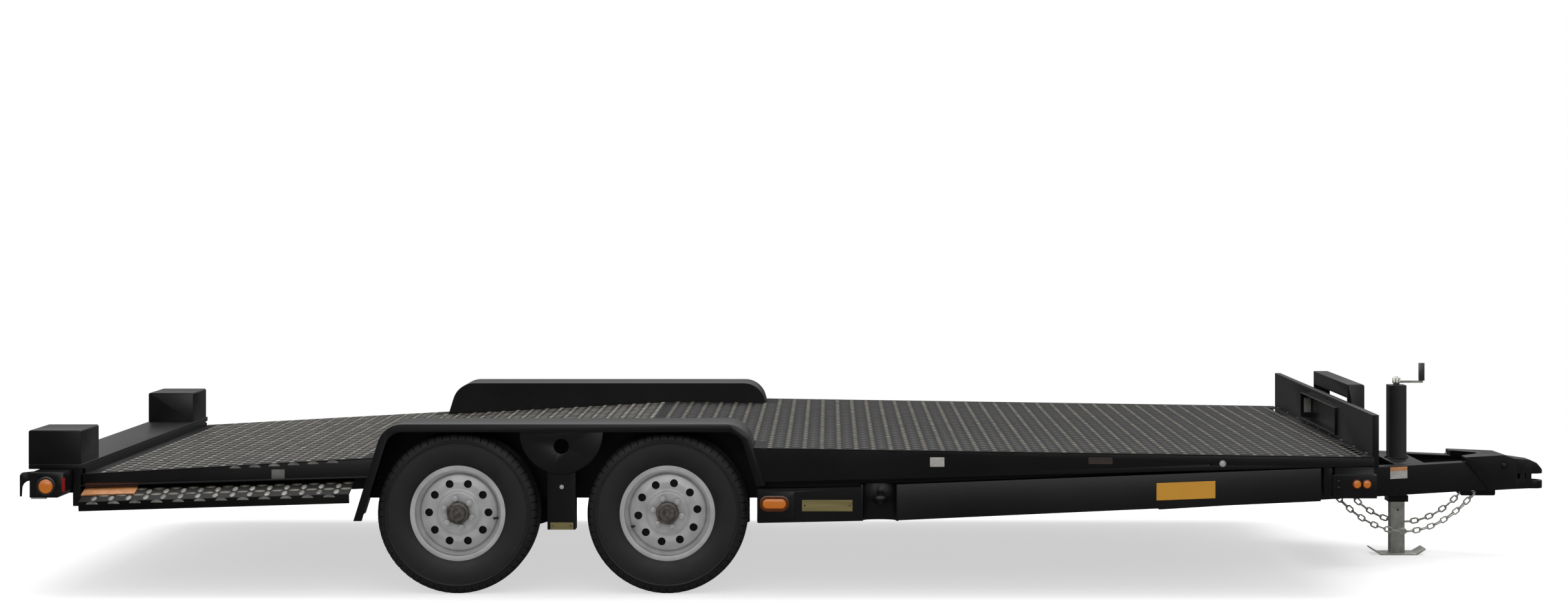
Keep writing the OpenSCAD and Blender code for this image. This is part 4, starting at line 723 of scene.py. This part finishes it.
def setDown(tree, source, shape):
    # Sets a shape down on the carrier's points, each with its own turn and size
    turn, size = (addNode(tree, "GeometryNodeInputNamedAttribute", {
        "data_type": "FLOAT_VECTOR", "Name": label}) for label in ("turn", "size"))
    return addNode(tree, "GeometryNodeInstanceOnPoints", {
        "Points": source["Geometry"], "Instance": shape, "Rotation": turn, "Scale": size})


# Chain links: round wire bent to a long ring, welded shut, each turned a quarter from the last
link = {"length": 32 * mm, "width": 12 * mm, "wire": 7 * mm, "step": 31.5 * mm, "facets": 10, "stops": 36}


def linkTree():
    tree, source = newTree("chainLinks", {"Geometry": "Geometry", "Wire Radius": "Float"})
    length, width = link["length"] + link["wire"], link["width"] + link["wire"]
    path = addNode(tree, "GeometryNodeCurvePrimitiveQuadrilateral", {"Width": length, "Height": width})
    bent = addNode(tree, "GeometryNodeFilletCurve", {"Radius": width / 2 - 0.01 * mm, "Curve": path})
    even = addNode(tree, "GeometryNodeResampleCurve", {"Count": link["stops"], "Curve": bent})
    wire = addNode(tree, "GeometryNodeCurvePrimitiveCircle", {
        "Resolution": link["facets"], "Radius": source["Wire Radius"]})
    swept = addNode(tree, "GeometryNodeCurveToMesh", {"Curve": even, "Profile Curve": wire})
    endTree(tree, setDown(tree, source, swept), source)
    return tree


chain = {
    "right": {"side": -1, "links": 22, "curve": 320 * mm, "shift": 0.0},
    "left": {"side": 1, "links": 18, "curve": 230 * mm, "shift": 36 * mm},
    "endZ": 244 * mm, "frontX": 2684 * mm, "frontY": 36 * mm, "rearY": 148 * mm,
}
links = linkTree()
for name in ("right", "left"):
    this = chain[name]
    curve, last = this["curve"], this["links"] - 1
    reach = curve * math.asinh(last / 2 * link["step"] / curve)
    drop = curve * (math.cosh(reach / curve) - 1)
    yaw = math.asin((chain["rearY"] - chain["frontY"]) / 2 / reach)
    middle = Vector((chain["frontX"] - this["shift"] - reach * math.cos(yaw),
                     this["side"] * (chain["frontY"] + chain["rearY"]) / 2, chain["endZ"] - drop))
    spots = []
    for i in range(this["links"]):
        s = (i - last / 2) * link["step"]
        along = curve * math.asinh(s / curve)
        local = Vector((along, 0, curve * (math.cosh(along / curve) - 1)))
        swing = Matrix.Rotation(-this["side"] * yaw, 3, "Z")
        turn = swing @ Matrix.Rotation(-math.atan(s / curve), 3, "Y") @ Matrix.Rotation(
            (last - i) % 2 * math.pi / 2, 3, "X")
        spots.append((middle + swing @ local, turn.to_euler(), (1, 1, 1)))
    node = "safety_chain_" + name
    piece = grow(node + "_links", links, {"Wire Radius": link["wire"] / 2}, "zinc", "chassis",
                 spotMesh(node, spots), 60)
    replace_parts(piece, node)
print("chains linked")

# Hex screws with washers, sized by half the width across the head: (x, y, z, outward axis, radius)
screw = {"head": 0.62, "washer": 1.35, "washerThick": 0.22, "domeFoot": 0.86, "domeTop": 0.55,
         "domeRise": 0.14}


def screwTree():
    # A washer, the hex head on it and a low dome on the head
    tree, source = newTree("hexScrews", {"Geometry": "Geometry"})
    whole = addNode(tree, "GeometryNodeJoinGeometry")
    washer, head = screw["washerThick"], screw["head"]
    for kind, lift, sizes in (
            ("Cylinder", washer / 2, {"Vertices": 24, "Radius": screw["washer"], "Depth": washer}),
            ("Cylinder", washer + head / 2, {"Vertices": 6, "Radius": 1.0, "Depth": head}),
            ("Cone", washer + head, {"Vertices": 18, "Radius Top": screw["domeTop"],
                                     "Radius Bottom": screw["domeFoot"], "Depth": screw["domeRise"]})):
        solid = addNode(tree, "GeometryNodeMesh" + kind, sizes)
        raised = addNode(tree, "GeometryNodeTransform", {"Translation": (0, 0, lift), "Geometry": solid})
        setNode(tree, whole, {0: raised})
    endTree(tree, setDown(tree, source, whole), source)
    return tree


screws = screwTree()
screwSets = {
    "painted": ("powder", "black_powder_coat", [
        (1926, -1140, 424, (0, -1, 0), 8), (1926, -1140, 400, (0, -1, 0), 8),
        (1926, 1140, 424, (0, 1, 0), 8), (1926, 1140, 400, (0, 1, 0), 8),
        (2800, -100, 374, (-0.42, -0.91, 0), 13), (2800, 100, 374, (-0.42, 0.91, 0), 13),
        (2338, 0, 396, (0, 0, 1), 7), (2422, 0, 396, (0, 0, 1), 7),
    ]),
    "plated": ("zinc", "zinc_plate", [
        (-958, -1128, 403, (0, -1, 0), 6), (-958, 1128, 403, (0, 1, 0), 6),
        (1496, -1140, 491, (0, -1, 0), 9), (1496, 1140, 491, (0, 1, 0), 9),
    ]),
    "rivets": ("plastic", "black_plastic", [
        (-55, -1141.2, 335, (0, -1, 0), 2.2), (112, -1141.2, 335, (0, -1, 0), 2.2),
        (-990, -1129.2, 258, (0, -1, 0), 2.0), (-925, -1129.2, 258, (0, -1, 0), 2.0),
    ]),
}
for name, (look, slot, bolts) in screwSets.items():
    spots = [(Vector((x, y, z)) * mm, facing((0, 0, 0), axis, 0.2 * i).to_euler(), (r * mm,) * 3)
             for i, (x, y, z, axis, r) in enumerate(bolts)]
    grow("screws_" + name, screws, {}, look, "chassis", spotMesh("screws_" + name, spots), 30)
print("screws set")

# Weld beads: overlapping ripples along each seam, under the paint
bead = {"pitch": 3.6 * mm, "radius": 3.4 * mm, "seed": 7, "small": 0.85, "large": 1.12, "flat": 0.8}


def beadTree():
    tree, source = newTree("weldBeads", {"Geometry": "Geometry", "Pitch": "Float", "Radius": "Float"})
    path = addNode(tree, "GeometryNodeMeshToCurve", {"Mesh": source["Geometry"]})
    stops = addNode(tree, "GeometryNodeCurveToPoints", {
        "mode": "LENGTH", "Curve": path, "Length": source["Pitch"]}).outputs
    ripple = addNode(tree, "GeometryNodeMeshUVSphere", {
        "Segments": 8, "Rings": 5, "Radius": source["Radius"]})
    squashed = addNode(tree, "GeometryNodeTransform", {"Scale": (1.0, 1.0, bead["flat"]), "Geometry": ripple})
    vary = addNode(tree, "FunctionNodeRandomValue", {
        "data_type": "FLOAT", 2: bead["small"], 3: bead["large"], "Seed": bead["seed"]})
    run = addNode(tree, "GeometryNodeInstanceOnPoints", {
        "Points": stops["Points"], "Instance": squashed, "Rotation": stops["Rotation"],
        "Scale": vary.outputs[1]})
    endTree(tree, run, source)
    return tree


def seam(x0, y0, z0, x1, y1, z1):
    return [(x0 * mm, y0 * mm, z0 * mm), (x1 * mm, y1 * mm, z1 * mm)]


# Where the seams run, in millimetres: round the pivot plates, at the jack's tube, the arch's feet, the
# coupler's slanting rear edges, and stitches along the headboard's foot
weld = {"pivot": (-959, 1131, 607), "pivotRadius": 155, "jackX": 2380, "tubeHalf": 36, "tubeRun": 35,
        "top": 397, "archX": (2108, 2171), "archY": 381, "coupler": ((2622, 396), (2736, 277)),
        "headX": 2059, "headZ": 515, "headReach": 1000, "headPitch": 250, "stitch": 20}
seams = []
for side in (-1, 1):
    px, py, pz = weld["pivot"]
    arc = [(px + weld["pivotRadius"] * math.sin(a), side * py, pz - weld["pivotRadius"] * math.cos(a))
           for a in (math.radians(d) for d in range(-18, 19, 6))]
    seams.append([tuple(v * mm for v in p) for p in arc])
    wall, run, top, jackX = side * weld["tubeHalf"], weld["tubeRun"], weld["top"], weld["jackX"]
    (archRear, archFront), archY = weld["archX"], side * weld["archY"]
    seams.append(seam(jackX - run, wall, top, jackX + run, wall, top))
    seams.append(seam(jackX + wall, -run, top, jackX + wall, run, top))
    seams.append(seam(archRear, archY, top, archFront, archY, top))
    seams.append([(x * mm, -side * tongueY(x * mm, 1 * mm), z * mm) for x, z in weld["coupler"]])
    if side < 0:
        for y in range(-weld["headReach"], weld["headReach"] + 1, weld["headPitch"]):
            seams.append(seam(weld["headX"], y - weld["stitch"], weld["headZ"],
                              weld["headX"], y + weld["stitch"], weld["headZ"]))
beads = beadTree()
verts, edges = [], []
for run in seams:
    edges += [(len(verts) + i, len(verts) + i + 1) for i in range(len(run) - 1)]
    verts += run
seamMesh = bpy.data.meshes.new("seams")
seamMesh.from_pydata(verts, edges, [])
grow("weld_beads", beads, {"Pitch": bead["pitch"], "Radius": bead["radius"]}, "powder", "chassis",
     seamMesh, 60)
print("seams welded:", len(seams))

# Edge lugs: where the plate is folded down, half of a lug shows on the edge's face
tab = {"half": 22 * mm, "height": 10 * mm, "thick": 1.6 * mm, "stepRow": (-2700, -1820, 80),
       "tailRow": (-2195, -1830, 73), "tailY": 1017 * mm, "tailDrop": 11 * mm,
       "frontXs": (-204, 19, 273, 701, 912), "frontHalf": 16 * mm, "frontHeight": 6 * mm, "frontDrop": 7 * mm}
rightFace = Matrix(((1, 0, 0), (0, 0, -1), (0, 1, 0))).to_euler()
leftFace = Matrix(((-1, 0, 0), (0, 0, 1), (0, 1, 0))).to_euler()


def tabTree():
    tree, source = newTree("edgeLugs", {"Geometry": "Geometry", "Thickness": "Float"})
    ring = addNode(tree, "GeometryNodeMeshCircle", {"fill_type": "NGON", "Vertices": 16, "Radius": 1.0})
    place = addNode(tree, "ShaderNodeSeparateXYZ", {
        "Vector": addNode(tree, "GeometryNodeInputPosition")}).outputs
    upper = addNode(tree, maths, {"operation": "MAXIMUM", 0: place["Y"], 1: 0.0})
    cut = addNode(tree, "ShaderNodeCombineXYZ", {"X": place["X"], "Y": upper, "Z": place["Z"]})
    half = addNode(tree, "GeometryNodeSetPosition", {"Geometry": ring, "Position": cut})
    thick = addNode(tree, "GeometryNodeExtrudeMesh", {"Mesh": half, "Offset Scale": source["Thickness"]})
    endTree(tree, setDown(tree, source, thick), source)
    return tree


def edgeRow(row, y, zAt):
    # Half lugs that stand on an edge's outer face, flat side down
    first, last, pitch = (v * mm for v in row)
    spots = []
    for side, turn in ((-1, rightFace), (1, leftFace)):
        for i in range(int(round((last - first) / pitch)) + 1):
            x = first + i * pitch
            spots.append(((x, side * y, zAt(x)), turn, (tab["half"], tab["height"], 1)))
    return spots


def stepEdge(x):
    return step["innerZ"] - step["fall"] + step["rise"] * (x - step["x"]) - tab["height"]


def tailEdge(x):
    return deck["fold"] - deck["tailFall"] * (deck["foldX"] - x) / deck["tailLength"] - tab["tailDrop"]


tabs = tabTree()
edgeSpots = edgeRow(tab["stepRow"], step["outer"], stepEdge) + edgeRow(tab["tailRow"], tab["tailY"], tailEdge)
# Painted highlight: the step and tail edges' half lugs take the brightest lug finish
grow("edge_lugs", tabs, {"Thickness": tab["thick"]}, "paleLugs", "chassis",
     spotMesh("edge_lugs", edgeSpots), 30)
topSpots = []
for x in (v * mm for v in tab["frontXs"]):
    z = deck["fold"] - deck["frontFall"] * (x - deck["foldX"]) / deck["frontLength"] - tab["frontDrop"]
    topSpots.append(((x, -step["outer"], z), rightFace, (tab["frontHalf"], tab["frontHeight"], 1)))
# Painted highlight: the front edge's half lugs take the faintest lug finish
grow("front_edge_lugs", tabs, {"Thickness": tab["thick"]}, "dimLugs", "chassis",
     spotMesh("front_edge_lugs", topSpots), 30)
print("edge lugs set:", len(edgeSpots) + len(topSpots))

# Studio: a pale floor that keeps the soft shadow near the trailer and turns white further out. Only the
# camera sees the white: reflections see a greyer floor, and the light comes from above.
studio = {"floor": "#f2f2f2", "shownFloor": "#b0b0b0", "lift": 0.6, "clearX": 3.0, "clearY": 1.2, "fade": 1.6,
          "glossyFloor": 0.08, "low": 0.05, "high": 1.25, "skyTop": 0.9, "size": 60}
floorMaterial, tree, shader, coords = newMaterial("pale_studio_floor", {
    "Roughness": 0.95, "Specular IOR Level": 0.0})
ray = addNode(tree, "ShaderNodeLightPath").outputs
shown = addNode(tree, "ShaderNodeMix", {"data_type": "RGBA", "Factor": ray["Is Camera Ray"],
                                        6: linear(studio["floor"]), 7: linear(studio["shownFloor"])})
where = addNode(tree, "ShaderNodeSeparateXYZ", {"Vector": coords}).outputs
squares = []
for axis, clear in (("X", studio["clearX"]), ("Y", studio["clearY"])):
    far = addNode(tree, maths, {"operation": "ABSOLUTE", 0: where[axis]})
    past = addNode(tree, maths, {"operation": "SUBTRACT", 0: far, 1: clear})
    out = addNode(tree, maths, {"operation": "MAXIMUM", 0: past, 1: 0.0})
    squares.append(addNode(tree, maths, {"operation": "MULTIPLY", 0: out, 1: out}))
total = addNode(tree, maths, {"operation": "ADD", 0: squares[0], 1: squares[1]})
away = addNode(tree, maths, {"operation": "SQRT", 0: total})
fade = addNode(tree, "ShaderNodeMapRange", {
    "interpolation_type": "SMOOTHSTEP", "From Max": studio["fade"], "Value": away})
lift = addNode(tree, maths, {"operation": "MULTIPLY", 0: ray["Is Camera Ray"], 1: studio["lift"]})
setNode(tree, shader, {
    "Base Color": shown.outputs[2], "Emission Color": (1, 1, 1, 1), "Emission Strength": lift})
white, grey = (addNode(tree, "ShaderNodeEmission", {"Color": (1, 1, 1, 1), "Strength": strength})
               for strength in (1.0, studio["glossyFloor"]))
whiten = addNode(tree, maths, {"operation": "MULTIPLY", 0: fade, 1: ray["Is Camera Ray"]})
toWhite = addNode(tree, "ShaderNodeMixShader", {0: whiten, 1: shader, 2: white})
toGrey = addNode(tree, "ShaderNodeMixShader", {0: ray["Is Glossy Ray"], 1: toWhite, 2: grey})
floorOut = next(node for node in tree.nodes if node.type == "OUTPUT_MATERIAL")
setNode(tree, floorOut, {"Surface": toGrey})
bpy.ops.mesh.primitive_plane_add(size=studio["size"])
floor = bpy.context.object
floor.name = "studio_floor"
floor.data.materials.append(floorMaterial)

world = bpy.data.worlds.new("studio")
bpy.context.scene.world = world
world.use_nodes = True
worldTree = world.node_tree
path = addNode(worldTree, "ShaderNodeLightPath").outputs
aim = addNode(worldTree, "ShaderNodeSeparateXYZ", {
    "Vector": addNode(worldTree, "ShaderNodeTexCoord").outputs["Generated"]}).outputs
sky = addNode(worldTree, "ShaderNodeMapRange", {
    "From Min": 0.0, "From Max": studio["skyTop"], "To Min": studio["low"], "To Max": studio["high"],
    "Value": aim["Z"]})
seen = addNode(worldTree, maths, {
    "operation": "MAXIMUM", 0: path["Is Camera Ray"], 1: path["Is Transmission Ray"]})
strength = addNode(worldTree, "ShaderNodeMix", {"data_type": "FLOAT", "Factor": seen, 2: sky, 3: 1.0})
setNode(worldTree, worldTree.nodes["Background"], {"Color": (1, 1, 1, 1), "Strength": strength})


def softbox(name, place, target, size, power):
    data = bpy.data.lights.new(name, "AREA")
    data.shape = "RECTANGLE"
    data.size, data.size_y = size
    data.energy = power
    lamp = bpy.data.objects.new(name, data)
    lamp.location = place
    lamp.rotation_euler = (Vector(target) - Vector(place)).to_track_quat("-Z", "Y").to_euler()
    bpy.context.scene.collection.objects.link(lamp)


softbox("overhead_softbox", (0, 1.2, 6.0), (0, 0, 0), (10, 5), 560)
softbox("front_softbox", (-1.0, -9, 4.5), (0, 0, 0.4), (8, 3), 120)

# Camera: level, 1.54 m up and 11.14 m off the trailer's middle line
view = {"x": 0.036, "distance": 11.14, "height": 1.54, "pixelsPerRadian": 4166, "frameWidth": 2424,
        "frameHeight": 950, "principal": (1282, 279)}
cameraData = bpy.data.cameras.new("camera")
cameraData.sensor_fit = "HORIZONTAL"
cameraData.sensor_width = 36
cameraData.lens = view["pixelsPerRadian"] / view["frameWidth"] * cameraData.sensor_width
cameraData.shift_x = (view["frameWidth"] / 2 - view["principal"][0]) / view["frameWidth"]
cameraData.shift_y = (view["principal"][1] - view["frameHeight"] / 2) / view["frameWidth"]
camera = bpy.data.objects.new("camera", cameraData)
camera.location = (view["x"], -view["distance"], view["height"])
camera.rotation_euler = (math.radians(90), 0, 0)
bpy.context.scene.collection.objects.link(camera)
bpy.context.scene.camera = camera
bpy.context.scene.view_settings.view_transform = "Standard"
print("studio set")
